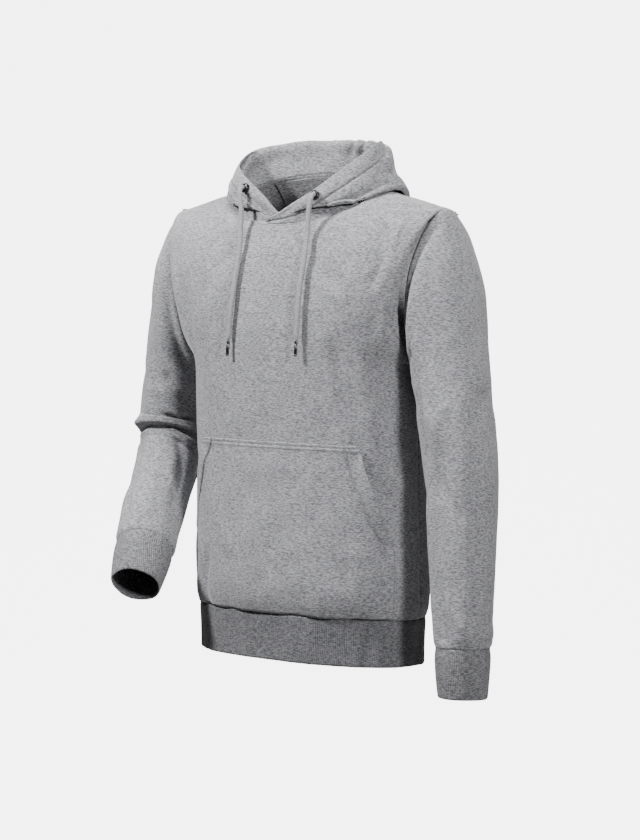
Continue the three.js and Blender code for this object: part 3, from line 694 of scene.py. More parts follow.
def make_eyelet(label):
    """The outline turned round the eyelet's own axis, from the middle of its solid's box."""
    low, high = (np.array(corner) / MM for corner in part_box(f"eyelet_{label}"))
    route = np.array(CORD_ROUTES[label], float)
    way = unit(curve_through(route, np.array([0.0, 0.01]))[1])[0]
    side = unit(np.cross(way, [0.0, 0.0, 1.0]))
    up = np.cross(side, way)
    turn = np.arange(EYELET_SIDES) * 2 * np.pi / EYELET_SIDES
    around = np.cos(turn)[:, None] * side + np.sin(turn)[:, None] * up
    outline = EYELET_OUTLINE
    points = (low + high) / 2 + around[:, None] * outline["radius"][None, :, None]
    points = points + way * (EYELET_LIFT + outline["height"][None, :, None])
    quads = grid_quads(EYELET_SIDES, len(outline["radius"]), True, False, looped=True)
    ring = make_mesh(f"eyelet_{label}_ring", points.reshape(-1, 3), quads)
    dress(ring, f"eyelet_{label}", gunmetal)


for label in CORD_ROUTES:
    make_eyelet(label)
print("eyelets are", 2 * EYELET_OUTLINE["radius"].max(), "mm wide")

# %% [markdown]
# ## Body
# Front and back are cut as two panels that meet at the side seams, the shoulders and the armholes.
# They could be draped over a body, but nobody is in the garment. So one formula gives both: below the
# armpits an oval section by height, above them the section closes in to the neck seam and the
# shoulder line. The weight of the cloth makes long soft folds: from the armpit down, across the
# chest below the armhole, and a blouse over the rib. They are placed as the photo shows.

# %% Folds and creases of the body
CAD_FRONT_FOLDS = columns(CREASE, [
    [128, -250, 168, -385, 17, 5, 0], [108, -258, 140, -375, 15, -4, 0],
    [196, -95, 172, -190, 13, -5, 0], [-186, -100, -150, -215, 14, -4, 0],
    [-150, -540, -176, -585, 16, -5, 0],
])
CAD_BACK_FOLDS = columns(CREASE, [
    [150, -170, 95, -330, 19, -5, 0], [-150, -150, -90, -320, 18, -5, 0],
    [120, -400, 160, -560, 17, 4, 0], [-60, -450, -110, -590, 20, -4, 0],
])
FRONT_CREASES = columns(CREASE, [
    [-166, -440, -168, -600, 26, -9, 0], [145, -256, 178, -431, 8, 5.2, 5],
    [118, -237, 167, -385, 9, -4.6, 5], [195, -62, 178, -150, 6, 3.2, -4],
    [174, -70, 170, -136, 8, -4.4, -9], [150, -60, 132, -150, 12, 1.8, -5],
    [182, -170, 182, -330, 5, 2.4, 3], [100, -225, 124, -370, 10, 3.0, 6],
    [166, -400, 174, -500, 7, -3.0, 3], [-108, -545, -118, -606, 10, -5.5, 3],
    [-134, -530, -142, -606, 8, 3.0, 2], [-21, -470, -24, -580, 12, 2.0, 3],
    [24, -500, 52, -607, 15, -2.6, 5], [86, -520, 96, -607, 13, 1.8, 4],
    [-66, -540, -62, -607, 11, -2.0, 3], [128, -545, 138, -607, 10, -2.2, 3],
    [-186, -130, -150, -240, 8, 2.6, 5], [-172, -200, -128, -330, 10, -2.8, 8],
    [-150, -270, -120, -400, 11, 2.2, 8], [-174, -300, -168, -430, 8, -2.6, 3],
    [-90, -150, -76, -300, 15, 1.4, 6], [40, -150, 30, -330, 18, -1.4, 10],
    [-20, -190, -10, -340, 16, 1.3, 8], [-64, -96, -104, -150, 10, -2.2, 5],
    [72, -96, 118, -140, 10, -2.2, 5],
])
BACK_CREASES = columns(CREASE, [
    [175, -130, 150, -240, 8, 3.2, 5], [-172, -120, -140, -235, 8, 3.0, -5],
    [160, -260, 110, -400, 9, -2.2, 8], [-165, -260, -120, -420, 9, -2.4, -8],
    [60, -180, 40, -330, 14, 1.4, 10], [-30, -200, -50, -390, 13, -1.4, 9],
    [140, -420, 90, -560, 10, -1.8, 8], [-150, -450, -90, -580, 11, 1.8, 8],
    [10, -480, 20, -605, 12, -1.4, 6], [80, -560, 70, -608, 8, 1.6, 2],
    [-120, -560, -130, -608, 8, -1.8, 2],
])


print("creases placed:", len(FRONT_CREASES["x0"]), "in front,", len(BACK_CREASES["x0"]), "behind")

# %% Form of the body


def body_point(facing, across, up):
    """A body panel: across from -1 to 1 between the side seams, up from 0 at the hem seam through 1
    at the armpits to 2 at the shoulders."""
    across, up = np.broadcast_arrays(np.asarray(across, float), np.asarray(up, float))
    size = np.abs(across)
    round_share = np.clip(1 - size**CHEST_ROUNDNESS, 0, 1) ** (1 / CHEST_ROUNDNESS)
    side_name = "front" if facing < 0 else "back"
    z = mix(HEM_SEAM, ARMPIT, np.clip(up, 0, 1))
    lower = np.stack(
        [across * read(BODY, "z", "side", z), facing * read(BODY, "z", side_name, z) * round_share, z], -1
    )
    arm = armhole_point(180 * (2 - np.clip(up, 1, 2)))
    side_climb = (arm[..., 2] - ARMPIT) / (SHOULDER_TIP[1] - ARMPIT)
    climb = np.clip(mix(np.clip(up - 1, 0, 1), side_climb, size**3), 0, 1)
    reach = size / NECK_SHARE
    neck_round = np.sqrt(np.clip(1 - reach**2, 0, 1))
    neck_depth = NECK_FRONT if facing < 0 else NECK_BACK
    shoulder = np.clip((size - NECK_SHARE) / (1 - NECK_SHARE), 0, 1)
    neck_top = NECK_RISE * facing * neck_depth * neck_round
    top = np.where(reach < 1, neck_top, SHOULDER_TIP[1] * shoulder**SHOULDER_CURVE)
    soft_round = np.clip(1 - (across / NECK_FADE) ** 2, 0, 1) ** 1.5
    soft_top = NECK_RISE * facing * neck_depth * soft_round + SHOULDER_TIP[1] * size**4
    top = mix(soft_top, top, climb**8)
    chest = BODY[side_name][-1]
    swell = 0 if facing < 0 else BACK_FULLNESS * np.sin(np.pi * climb)
    centre = chest + swell - (chest - neck_depth) * climb**CHEST_SLOPE
    over = np.sqrt(1 - climb**YOKE_ROUNDNESS)
    shape = over * round_share + (1 - over) * mix(soft_round, neck_round, climb**8)
    edge = np.abs(arm[..., 1])
    upper = np.stack(
        [across * arm[..., 0], facing * (edge + (centre - edge) * shape), ARMPIT + (top - ARMPIT) * climb], -1
    )
    points = np.where((up <= 1)[..., None], lower, upper)
    inside = 1 - across**6
    free = ease(up, 0, 0.12) * (1 - ease(up, 1.75, 2))
    folds = CAD_FRONT_FOLDS if facing < 0 else CAD_BACK_FOLDS
    points[..., 1] += facing * creases(folds, points[..., 0], points[..., 2]) * inside * free
    return points


def dressed_body(facing, across, up):
    """The body with its smaller creases and the slight unevenness of the cloth."""
    plain = body_point(facing, across, up)
    normals = normals_of(plain, flip=facing > 0)
    small = creases(FRONT_CREASES if facing < 0 else BACK_CREASES, plain[..., 0], plain[..., 2])
    near_edge = (1 - np.abs(across) ** 8) * (1 - ease(up, 1.8, 2))
    at_neck = ease(up, 1.85, 2) * (1 - ease(np.abs(across), NECK_SHARE, 0.7))
    moved = small * near_edge + uneven(plain) * (1 - at_neck)
    return lean_over(plain + normals * moved[..., None])


CHEST_MIDDLE = body_point(-1, 0.0, 1.0)
print("middle of the chest at the armpits' height in mm:", CHEST_MIDDLE.round(1))

# %% [markdown]
# The panels need their columns closer together at the sides and at the neck's corners, where the
# section turns. Their edges are drawn down into the seams.

# %% Front and back
ARMPIT_SOFTENING = 0.12
ARMPIT_PASSES = 60
ARMHOLE_OVERHANG = 2.4


def soften_armpit(points, across, up):
    """Above and below the armpits two formulas meet. The grid is smoothed over that line, away from
    the side seams, so the cloth runs on without a step."""
    points = points.copy()
    share = (bell(up - 1, ARMPIT_SOFTENING) * (1 - np.abs(across) ** 10))[:, 1:-1, None]
    for _ in range(ARMPIT_PASSES):
        points[:, 1:-1] += 0.25 * share * (points[:, :-2] - 2 * points[:, 1:-1] + points[:, 2:])
    return points


def spread(count):
    """Shares from -1 to 1, closer together at the side seams, where the section turns."""
    return np.sin(np.linspace(-np.pi / 2, np.pi / 2, count))


def make_body(name, node_name, facing, count, rows):
    """A panel: closer columns by the neck's corners, the form, and edges that dip into their seams,
    deepest at the front armholes, where the cloth hangs over the sleeve."""
    shares = spread(count)
    outside = shares[np.abs(shares) > NECK_SHARE]
    inside = shares[np.abs(shares) < NECK_SHARE]
    neck = NECK_SHARE * spread(41)
    shares = np.unique(np.round(np.concatenate([outside, neck, inside]), 5))
    ups = np.concatenate([np.linspace(0, 1, rows, endpoint=False), np.linspace(1, 2, int(rows * 0.8))])
    across, up = np.meshgrid(shares, ups, indexing="ij")
    points = soften_armpit(dressed_body(facing, across, up), across, up)
    normals = normals_of(points, flip=facing > 0)
    overhang = ARMHOLE_OVERHANG if facing < 0 else 0.2 * ARMHOLE_OVERHANG
    depth = 1.3 + overhang * ease(up, 1.02, 1.15) * (1 - ease(up, 1.8, 1.97))
    pucker = 0.5 if facing < 0 else 0.2
    points = sink(points, normals, ("start", "end"), depth=depth, width=3.2, pucker=pucker)
    points = sink(points, normals, ("top",), depth=0.8, width=2.2, pucker=0.3)
    points = sink(points, normals, ("bottom",), depth=1.2, width=3, pucker=0.5)
    piece = shell(name, points, normals, CLOTH, flip=facing > 0)
    dress(piece, node_name, fleece)
    return points, normals


front_points, front_normals = make_body("front", "front_panel", -1, 190, 100)
back_points, back_normals = make_body("back", "back_panel", 1, 150, 80)
print("front grid", front_points.shape[:2], "back grid", back_points.shape[:2])

# %% [markdown]
# ## Hem rib
# A doubled band of rib knit, cut shorter than the hem, draws the body's edge in, so the fleece
# blouses over it. It starts from the body's own lowest section, so it always fits. Its wales are
# 3 mm apart, too fine for the mesh to be worth it, and are left to the material.

# %% Hem rib
RIB_PULL = 2.6
RIB_TUCK = 1.2


def make_hem_rib():
    """The hem seam's ring carried down, drawn in below the seam, with slow waves round it."""
    shares = spread(181)
    ring = np.concatenate([
        body_point(-1, shares[:-1], 0.0 * shares[:-1]),
        body_point(1, shares[:0:-1], 0.0 * shares[:0:-1]),
    ])
    drop = np.linspace(1, 0, 26)
    drawn_in = RIB_PULL * np.sin(drop * np.pi * 0.6) + RIB_TUCK * bell(drop, 0.05)
    pull = 1 - drawn_in / BODY["side"][0]
    points = ring[:, None] * np.ones((1, len(drop), 1))
    points[..., :2] *= pull[None, :, None]
    points[..., 2] -= RIB_HEIGHT * drop[None]
    turn = np.linspace(0, 2 * np.pi, len(ring), endpoint=False)[:, None]
    wave = 1.6 * np.sin(7 * turn + 0.6) + 1.0 * np.sin(13 * turn + 2) + 0.7 * np.sin(29 * turn)
    normals = normals_of(points, closed=True)
    points = points + normals * (wave * np.sin(drop * np.pi * 0.8)[None])[..., None]
    points = lean_over(points)
    piece = shell("hem_band", points, normals, RIB_CLOTH, closed=True, open_edges=("bottom",))
    dress(piece, "hem_rib", rib_knit)
    return points


hem_points = make_hem_rib()
print("hem rib round the edge in mm:", round(float(from_edge(hem_points, "start")[-1, 0])))

# %% [markdown]
# ## Sleeves and cuffs
# A set-in sleeve is one piece rolled into a tube. Its cap bends out of the armhole and over the
# shoulder. The left arm hangs; the right one is bent, so its cloth rolls over the elbow and folds in
# the crook. A straight tube bent by bones would pinch there, so sections are set along a bent centre
# line instead. Creases are placed on the unrolled sleeve: around by angle (90 at the front), down in
# millimetres.

# %% Folds and creases of the sleeves
CAP_SHARE = 8 / 23
CAP_PULL = 0.34
SLEEVE_LENGTH = 590
CAD_SLEEVE_FOLDS = {
    "left": columns(
        "along round reach spread height",
        [[0.42, 200, 0.05, 70, -4], [0.62, 120, 0.04, 60, -3], [0.95, 300, 0.035, 90, 3]],
    ),
    "right": columns(
        "along round reach spread height",
        [
            [0.59, 90, 0.028, 100, 6],
            [0.65, 90, 0.025, 95, -6],
            [0.36, 60, 0.04, 50, -4],
            [0.85, 40, 0.03, 70, -3],
        ],
    ),
}
SLEEVE_CREASES = {
    "left": columns(CREASE, [
        [101, 120, 103, 290, 8, 4.6, 4], [124, 110, 120, 320, 10, -6.0, -4],
        [89, 340, 92, 585, 13, -4.8, 5], [124, 370, 118, 575, 10, 3.0, 5],
        [52, 330, 56, 570, 14, 2.8, -6], [75, 90, 60, 260, 15, -2.2, 8],
        [30, 60, 20, 220, 16, 2.0, 6], [10, 260, 30, 450, 12, -2.6, 8],
        [70, 280, 110, 350, 8, 2.2, 6], [110, 330, 60, 400, 8, -2.4, 6],
        [100, 470, 60, 540, 8, 2.0, 6], [20, 500, 35, 588, 9, 2.2, 3],
        [140, 520, 100, 580, 8, -2.2, 4], [170, 200, 150, 360, 11, 3.0, 6],
        [210, 230, 180, 420, 11, -3.0, 8], [250, 380, 200, 560, 10, 2.8, 8],
        [285, 100, 300, 300, 13, -2.6, 8], [320, 300, 290, 520, 13, 2.6, 8],
    ]),
    "right": columns(CREASE, [
        [77, 10, 157, 205, 12, -4.4, 9], [58, 60, 132, 232, 13, 3.2, 9],
        [40, 120, 100, 260, 13, -2.2, 8], [112, 216, 163, 288, 8, -5.5, 5],
        [104, 250, 135, 300, 8, 3.6, 4], [126, 303, 178, 322, 9, -6.0, 3],
        [60, 200, 84, 300, 12, 2.2, 5], [42, 354, 172, 361, 7, 4.2, -5],
        [36, 372, 184, 376, 5, -7.0, -5], [44, 386, 126, 384, 6, 3.6, 6],
        [126, 384, 186, 406, 6, 4.0, -3], [104, 402, 190, 430, 7, -4.2, -4],
        [40, 405, 96, 402, 7, -3.0, 4], [140, 425, 160, 540, 9, -3.4, 5],
        [100, 430, 112, 560, 10, 2.8, 5], [62, 420, 76, 560, 10, -2.4, -5],
        [80, 540, 96, 588, 7, 2.2, 2], [210, 250, 250, 400, 12, 3.2, 8],
        [250, 160, 230, 330, 12, -3.0, 6], [300, 340, 280, 540, 12, 2.8, 8],
        [200, 430, 230, 570, 10, -3.0, 6],
    ]),
}
print("creases placed:", {side: len(table["x0"]) for side, table in SLEEVE_CREASES.items()})

# %% Form of a sleeve
MM_A_DEGREE = 0.88
SEAM_ALLOWANCE = 6
# Beside the front of the armhole the sleeve lies in behind the panel: depth, distance and reach.
SEAM_RECESS = {"left": (9, 10, 12), "right": (3.2, 7, 7)}


def tube_point(table, side, share, angle, swell):
    """The tube of a sleeve round its centre line, at a share of that line and an angle round it."""
    line = np.stack([side * table["x"], table["y"], table["z"]], -1)
    centre, axis = curve_through(line, share)
    axis = unit(axis)
    sideways = np.array([side, 0.0, 0.0])
    outward = unit(sideways - axis * (axis @ sideways)[:, None])
    front = unit(np.cross(axis, outward)) * side
    stations = {"k": np.arange(len(table["x"]), dtype=float), "out": table["out"], "fore": table["fore"]}
    place = share * (len(table["x"]) - 1)
    out = read(stations, "k", "out", place)[None] + swell
    fore = read(stations, "k", "fore", place)[None] + swell
    a = np.radians(angle)[:, None]
    return (
        centre[None]
        + outward[None] * (out * np.cos(a))[..., None]
        + front[None] * (fore * np.sin(a))[..., None]
    )


def sleeve_swell(label, along, angle):
    """The largest folds, which are bumps or dents part of the way round the tube."""
    folds = CAD_SLEEVE_FOLDS[label]
    total = np.zeros((len(angle), len(along)))
    for at, middle, reach, spread_, height in zip(*folds.values()):
        turn = (angle[:, None] - middle + 540) % 360 - 180
        total += height * bell(turn, spread_) * bell(along[None] - at, reach)
    return total


def sleeve_point(label, table, side, along, angle):
    """A cap bends from the armhole seam into the tube, which follows the arm's line to the cuff."""
    cuff_at = (len(table["x"]) - 2) / (len(table["x"]) - 1)
    tube_along = along[along >= CAP_SHARE]
    share = (tube_along - CAP_SHARE) / (1 - CAP_SHARE) * cuff_at
    tube = tube_point(table, side, share, angle, sleeve_swell(label, tube_along, angle))
    first_swell = sleeve_swell(label, np.array([CAP_SHARE]), angle)
    start = tube_point(table, side, np.zeros(1), angle, first_swell)[:, 0]
    seam = armhole_point(angle) * [side, 1, 1]
    high = (1 + np.cos(np.radians(angle))) / 2
    a = np.radians(angle)
    away = unit(np.stack([side * (0.3 + 0.3 * high), -0.25 * np.sin(a), -0.95 + 0.15 * high], -1))
    reach = np.linalg.norm(seam - start, axis=-1, keepdims=True) * CAP_PULL
    line = np.stack([side * table["x"], table["y"], table["z"]], -1)
    way = unit(curve_through(line, np.zeros(1))[1])[0]
    t = (along[along < CAP_SHARE] / CAP_SHARE)[None, :, None]
    p0, p1, p2, p3 = (p[:, None] for p in (seam, seam + away * reach, start - way * reach, start))
    cap = p0 * (1 - t) ** 3 + 3 * p1 * t * (1 - t) ** 2 + 3 * p2 * t**2 * (1 - t) + p3 * t**3
    return np.concatenate([cap, tube], axis=1)


ELBOW = tube_point(RIGHT_SLEEVE, -1, np.array([0.4]), np.array([0.0]), 0)[0, 0]
print("outer side of the bent elbow in mm:", ELBOW.round(1))

# %% Sleeves and cuffs


def make_sleeve(label, table, side):
    """A sleeve with its creases, its seam and its cuff. The tube is closed round its angle."""
    angle = np.linspace(0, 360, 132, endpoint=False)
    along = np.linspace(0, 1, 190)
    points = sleeve_point(label, table, side, along, angle)
    flip = side < 0
    normals = normals_of(points, closed=True, flip=flip)
    down = along[None] * SLEEVE_LENGTH
    moved = np.zeros(points.shape[:2])
    folds = SLEEVE_CREASES[label]
    # Each crease is read with the angle counted from its own start, so that it can cross the join.
    for row in range(len(folds["x0"])):
        one = {n: folds[n][row : row + 1] for n in folds}
        turn = (angle[:, None] - folds["x0"][row] + 540) % 360 - 180
        one["x1"] = (one["x1"] - one["x0"]) * MM_A_DEGREE
        one["x0"] = one["x0"] * 0
        moved += creases(one, turn * MM_A_DEGREE, down)
    moved *= ease(down, 0, 60) * (1 - ease(down, SLEEVE_LENGTH - 25, SLEEVE_LENGTH))
    moved += uneven(points)
    points = lean_over(points + normals * moved[..., None])
    normals = normals_of(points, closed=True, flip=flip)
    a = np.radians(angle)[:, None]
    at_seam = ease(np.sin(a), 0.3, 0.75) + 0.2 * ease(-np.sin(a), 0.3, 0.75)
    points = sink(points, normals, ("bottom",), depth=3.2 * at_seam, pucker=0.5 * at_seam, closed=True)
    deep, middle, reach = SEAM_RECESS[label]
    recess = deep * at_seam * bell(from_edge(points, "bottom") - middle, reach)
    points = points - normals * recess[..., None]
    points = sink(points, normals, ("top",), depth=1.8, width=4.5, pucker=0.9, closed=True)
    # The seam's allowance reaches in under the panel, so no light shows between the two edges.
    under = unit(np.stack([-side + 0 * a, np.sin(a), 0 * a], -1))
    allowance = points[:, :1] + SEAM_ALLOWANCE * at_seam[..., None] * under
    whole = np.concatenate([allowance, points], axis=1)
    ways = np.concatenate([normals[:, :1], normals], axis=1)
    piece = shell(f"sleeve_{label}_cloth", whole, ways, CLOTH, closed=True, flip=flip)
    dress(piece, f"sleeve_{label}", fleece)

    cuff_at = (len(table["x"]) - 2) / (len(table["x"]) - 1)
    share = np.linspace(cuff_at, 1, 30)
    drop = np.linspace(0, 1, 30)[None]
    draw_in = -1.6 * bell(drop, 0.12) + 0.8 * np.sin(np.pi * drop)
    wave = 0.7 * np.sin(5 * np.radians(angle) + side)[:, None] * np.sin(np.pi * 0.7 * drop)
    cuff_points = lean_over(tube_point(table, side, share, angle, draw_in + wave))
    cuff_normals = normals_of(cuff_points, closed=True, flip=flip)
    kind = {"closed": True, "flip": flip, "open_edges": ("top",)}
    cuff = shell(f"cuff_{label}_band", cuff_points, cuff_normals, RIB_CLOTH, **kind)
    dress(cuff, f"cuff_{label}", cuff_knit)
    return points, normals


sleeve_grids = {
    "left": make_sleeve("left", LEFT_SLEEVE, 1),
    "right": make_sleeve("right", RIGHT_SLEEVE, -1),
}
down_front = from_edge(sleeve_grids["left"][0], "bottom")[33, -1]
print("sleeve length down the front in mm:", round(float(down_front)))

# %% [markdown]
# ## Hood
# The hood is two halves, joined over the head, whose lower edge is sewn to the neck. Lying back, it
# stands up inside the neck, folds over and hangs down behind. Shaping it by hand would lose the seam
# to the neck, so its section is set at angles round the neck and swept. Along the face opening the
# edge is turned in and stitched down as a tunnel 27 mm wide that holds the drawcord.

# %% Sizes and creases of the hood
HOOD_LAP = 1.6
HOOD_SEAT = -1.5
HOOD_CLEAR = 3.2
TUNNEL = 27
BAND_ROWS = 30
HOOD_ROWS = 120

HOOD_CREASES = {
    "left": columns(CREASE, [
        [60, 52, 150, 70, 9, -3.0, 6], [95, 40, 200, 46, 10, 1.2, 5],
        [150, 90, 260, 120, 12, -3.2, 10], [200, 60, 330, 90, 13, 3.0, 12],
        [230, 150, 330, 170, 14, -3.0, 8], [300, 30, 340, 160, 12, 2.4, 8],
    ]),
    "right": columns(CREASE, [
        [22, 20, 84, 36, 5, -3.2, 5], [60, 50, 150, 60, 8, -2.6, 6],
        [110, 40, 210, 50, 10, 2.4, 5], [150, 80, 280, 115, 12, -3.0, 10],
        [210, 130, 330, 150, 13, 3.0, 10], [290, 40, 345, 180, 12, -2.4, 8],
    ]),
}
# Dents in the fold that stands inside the neck, by angle and by share of the way up the section
HOOD_DENTS = {
    "left": columns(
        "angle share reach_angle reach_share height",
        [
            [166, 0.18, 3.5, 0.05, -7],
            [160, 0.18, 3, 0.05, 4],
            [153, 0.17, 3.5, 0.05, -11],
            [147, 0.19, 3, 0.05, 5],
            [140, 0.17, 4, 0.06, -11],
            [133, 0.19, 3.5, 0.05, 4],
            [125, 0.17, 5, 0.05, -7],
            [92, 0.36, 6, 0.06, -4],
        ],
    ),
    "right": columns(
        "angle share reach_angle reach_share height",
        [
            [62, 0.3, 9, 0.06, -3],
            [95, 0.2, 12, 0.06, -2.5],
            [130, 0.12, 14, 0.05, 2.2],
            [155, 0.22, 12, 0.05, -2.5],
        ],
    ),
}
MM_A_NECK_DEGREE = 1.9
COARSE = 4
SOFTNESS = 1.5


print("dents inside the hood:", {side: len(table["angle"]) for side, table in HOOD_DENTS.items()})

# %% Form of the hood


def hood_profile(side, angle):
    """Section of the hood at each angle round the neck, as offsets outward and upward."""
    get = {n: read(HOOD, "angle", n, angle) for n in HOOD if n != "angle"}
    edge = get["edge"] if side > 0 else get["right"]
    stand, crease, roll, out, rise, belly, lean = (
        get[n] for n in "stand crease roll out rise belly lean".split()
    )
    fold = np.clip(out * 0.45, 0.2, 9)
    back = ease(angle, 60, 130)
    corners = [
        (0 * out, 0 * out),
        (crease * 0.6, stand * 0.5),
        (crease, stand - 0.3 * fold),
        (mix(crease + 0.6 * fold, crease + fold, back), mix(stand - 0.1 * fold, stand, back)),
        (mix(crease, out, 0.5), mix(stand, roll, 0.45)),
        (mix(crease, out, 0.84), mix(stand, roll, 0.86)),
        (out, roll),
        (out + 0.45 * fold, mix(roll, rise, 0.2) + 0.2 * fold),
        (belly + 0.4 * fold, rise),
        (mix(belly + 0.4 * fold, lean + 1, 0.6), mix(rise, edge, 0.55)),
        (lean, edge),
    ]
    return np.stack([np.stack(c, -1) for c in corners], 1)


def hood_surface(side, angle, along):
    """The sections set round the neck seam, each in the upright plane of its angle. Near the front
    one half lies over the other."""
    base = neck_point(angle)[:, None]
    offset = curve_through(hood_profile(side, angle), along)[0]
    lap = side * HOOD_LAP * (1 - ease(angle, 14, 32))[:, None]
    a = np.radians(angle)[:, None]
    r = offset[..., 0] + lap
    height = base[..., 2] + HOOD_SEAT + offset[..., 1]
    points = np.stack([base[..., 0] + r * np.sin(a), base[..., 1] - r * np.cos(a), height], -1)
    points[..., 0] *= side
    return lean_over(points)


def by_distance(points, along):
    """The same surface with rows spaced by distance from the opening's edge, close in the tunnel."""
    away = from_edge(points, "top")
    total = away[:, 0]
    band = np.minimum(TUNNEL + 6, 0.75 * total)[:, None]
    near = np.linspace(1, 0, BAND_ROWS)[None] * band
    far = band + (total[:, None] - band) * np.linspace(1, 0, HOOD_ROWS, endpoint=False)[None]
    wanted = np.concatenate([far, near], 1)
    result = np.empty((*wanted.shape, 3))
    shares = np.empty(wanted.shape)
    for k, (line, distance, targets) in enumerate(zip(points, away, wanted)):
        for axis in range(3):
            result[k, :, axis] = np.interp(targets, distance[::-1], line[::-1, axis])
        shares[k] = np.interp(targets, distance[::-1], along[::-1])
    return result, wanted, shares


NAPE = hood_surface(1, np.array([180.0]), np.array([0.0, 0.3, 1.0]))[0]
print("seam, top and lower edge of the hood behind in mm:", NAPE[:, 2].round(1))

# %% Halves of the hood


def clear_of_body(points, mask):
    """The hanging part rests on the shoulders: where it would press into them, it is moved out along
    the body's own direction. It is worked out on every fourth point and spread smoothly."""
    across, up = np.meshgrid(np.linspace(-1, 1, 91), np.linspace(0.9, 2, 61), indexing="ij")
    bodies = []
    directions = []
    for facing in (-1, 1):
        grid = lean_over(body_point(facing, across, up))
        bodies.append(grid.reshape(-1, 3))
        directions.append(normals_of(grid, flip=facing > 0).reshape(-1, 3))
    body, direction = np.concatenate(bodies), np.concatenate(directions)
    columns_used = np.unique(np.append(np.arange(0, points.shape[0], COARSE), points.shape[0] - 1))
    rows_used = np.unique(np.append(np.arange(0, points.shape[1], COARSE), points.shape[1] - 1))
    coarse = points[np.ix_(columns_used, rows_used)]
    moved = coarse.reshape(-1, 3).copy()
    for _ in range(3):
        nearest = ((moved[:, None] - body[None]) ** 2).sum(-1).argmin(1)
        height = ((moved - body[nearest]) * direction[nearest]).sum(-1)
        lack = np.log1p(np.exp(np.clip((HOOD_CLEAR - height) / SOFTNESS, -30, 30))) * SOFTNESS
        moved += direction[nearest] * (lack * 0.6)[:, None]
    shift = (moved.reshape(coarse.shape) - coarse) * mask[np.ix_(columns_used, rows_used)][..., None]
    wide = np.empty((points.shape[0], len(rows_used), 3))
    full = np.empty_like(points)
    for axis in range(3):
        for k in range(len(rows_used)):
            wide[:, k, axis] = np.interp(np.arange(points.shape[0]), columns_used, shift[:, k, axis])
        for k in range(points.shape[0]):
            full[k, :, axis] = np.interp(np.arange(points.shape[1]), rows_used, wide[k, :, axis])
    return points + full


def make_hood(label, side):
    """A half of the hood, with the stitched groove of its tunnel, its creases and its dents."""
    angle = np.linspace(-9, 180, 150)
    along = np.linspace(0, 1, 500)
    points, away, shares = by_distance(hood_surface(side, angle, along), along)
    mask = ease(angle, 30, 45)[:, None] * ease(shares, 0.25, 0.35)
    points = clear_of_body(points, mask)
    flip = side < 0
    normals = normals_of(points, flip=flip)
    total = away[:, :1]
    line = np.minimum(TUNNEL, 0.7 * total)
    groove = -1.7 * bell(away - line, 1.8) + 1.3 * bell(away - line / 2, 10) * ease(total, 20, 60)
    soft = ripple(points, 11 + side, 46, 1.0) + ripple(points, 14 + side, 24, 0.4)
    soft *= ease(away, 4, 50) * ease(shares, 0.05, 0.3)
    folds = creases(HOOD_CREASES[label], angle[:, None] * MM_A_NECK_DEGREE, away) * ease(shares, 0.3, 0.45)
    dents = np.zeros_like(away)
    for at, share, wide, high, height in zip(*HOOD_DENTS[label].values()):
        dents += height * bell(angle[:, None] - at, wide) * bell(shares - share, high)
    moved = groove + soft + folds + dents
    points = points + normals * moved[..., None]
    normals = normals_of(points, flip=flip)
    points = sink(points, normals, ("end",), depth=0.9, width=2.4, pucker=0.4)
    piece = shell(f"hood_{label}_cloth", points, normals, CLOTH, flip=flip, open_edges=("top", "start"))
    dress(piece, f"hood_{label}", fleece)
    return points, normals, away, line


hood_grids = {"left": make_hood("left", 1), "right": make_hood("right", -1)}
print("hood grid", hood_grids["left"][0].shape[:2])

# %% [markdown]
# ## Pocket and neck facing
# The pouch pocket is one piece laid on the front: sewn along its top and its lower sides, caught in
# the hem seam, and open along two slanted edges whose hems are stitched down. A flat patch pressed
# on to the front would cut into its folds, so the pocket is the front's own surface, moved out. The
# facing is a half moon inside the back neck, and it is the back's surface, moved in.

# %% Pocket
POCKET_TOP = -367
POCKET_OPENING_END = -503
POCKET_FOOT = -608
POCKET_TOP_REACH = {"left": 0.76, "right": 0.65}
POCKET_GAPE = {"left": 11, "right": 4}
POCKET_SIDE_REACH = 0.95
POCKET_HEM = 20
POCKET_CREASES = columns(CREASE, [
    [-110, -400, -60, -520, 12, 1.6, 8], [20, -390, -10, -540, 15, 1.2, 10],
    [90, -420, 120, -560, 10, -1.6, 8], [-150, -520, -120, -600, 9, -2.0, 4],
    [60, -560, 75, -606, 8, 1.6, 3], [0, -565, -10, -606, 8, -1.5, 3],
    [140, -520, 150, -600, 9, 1.6, 4], [-60, -560, -75, -606, 9, 1.4, 3],
    [100, -380, 60, -420, 9, -1.2, 4],
])


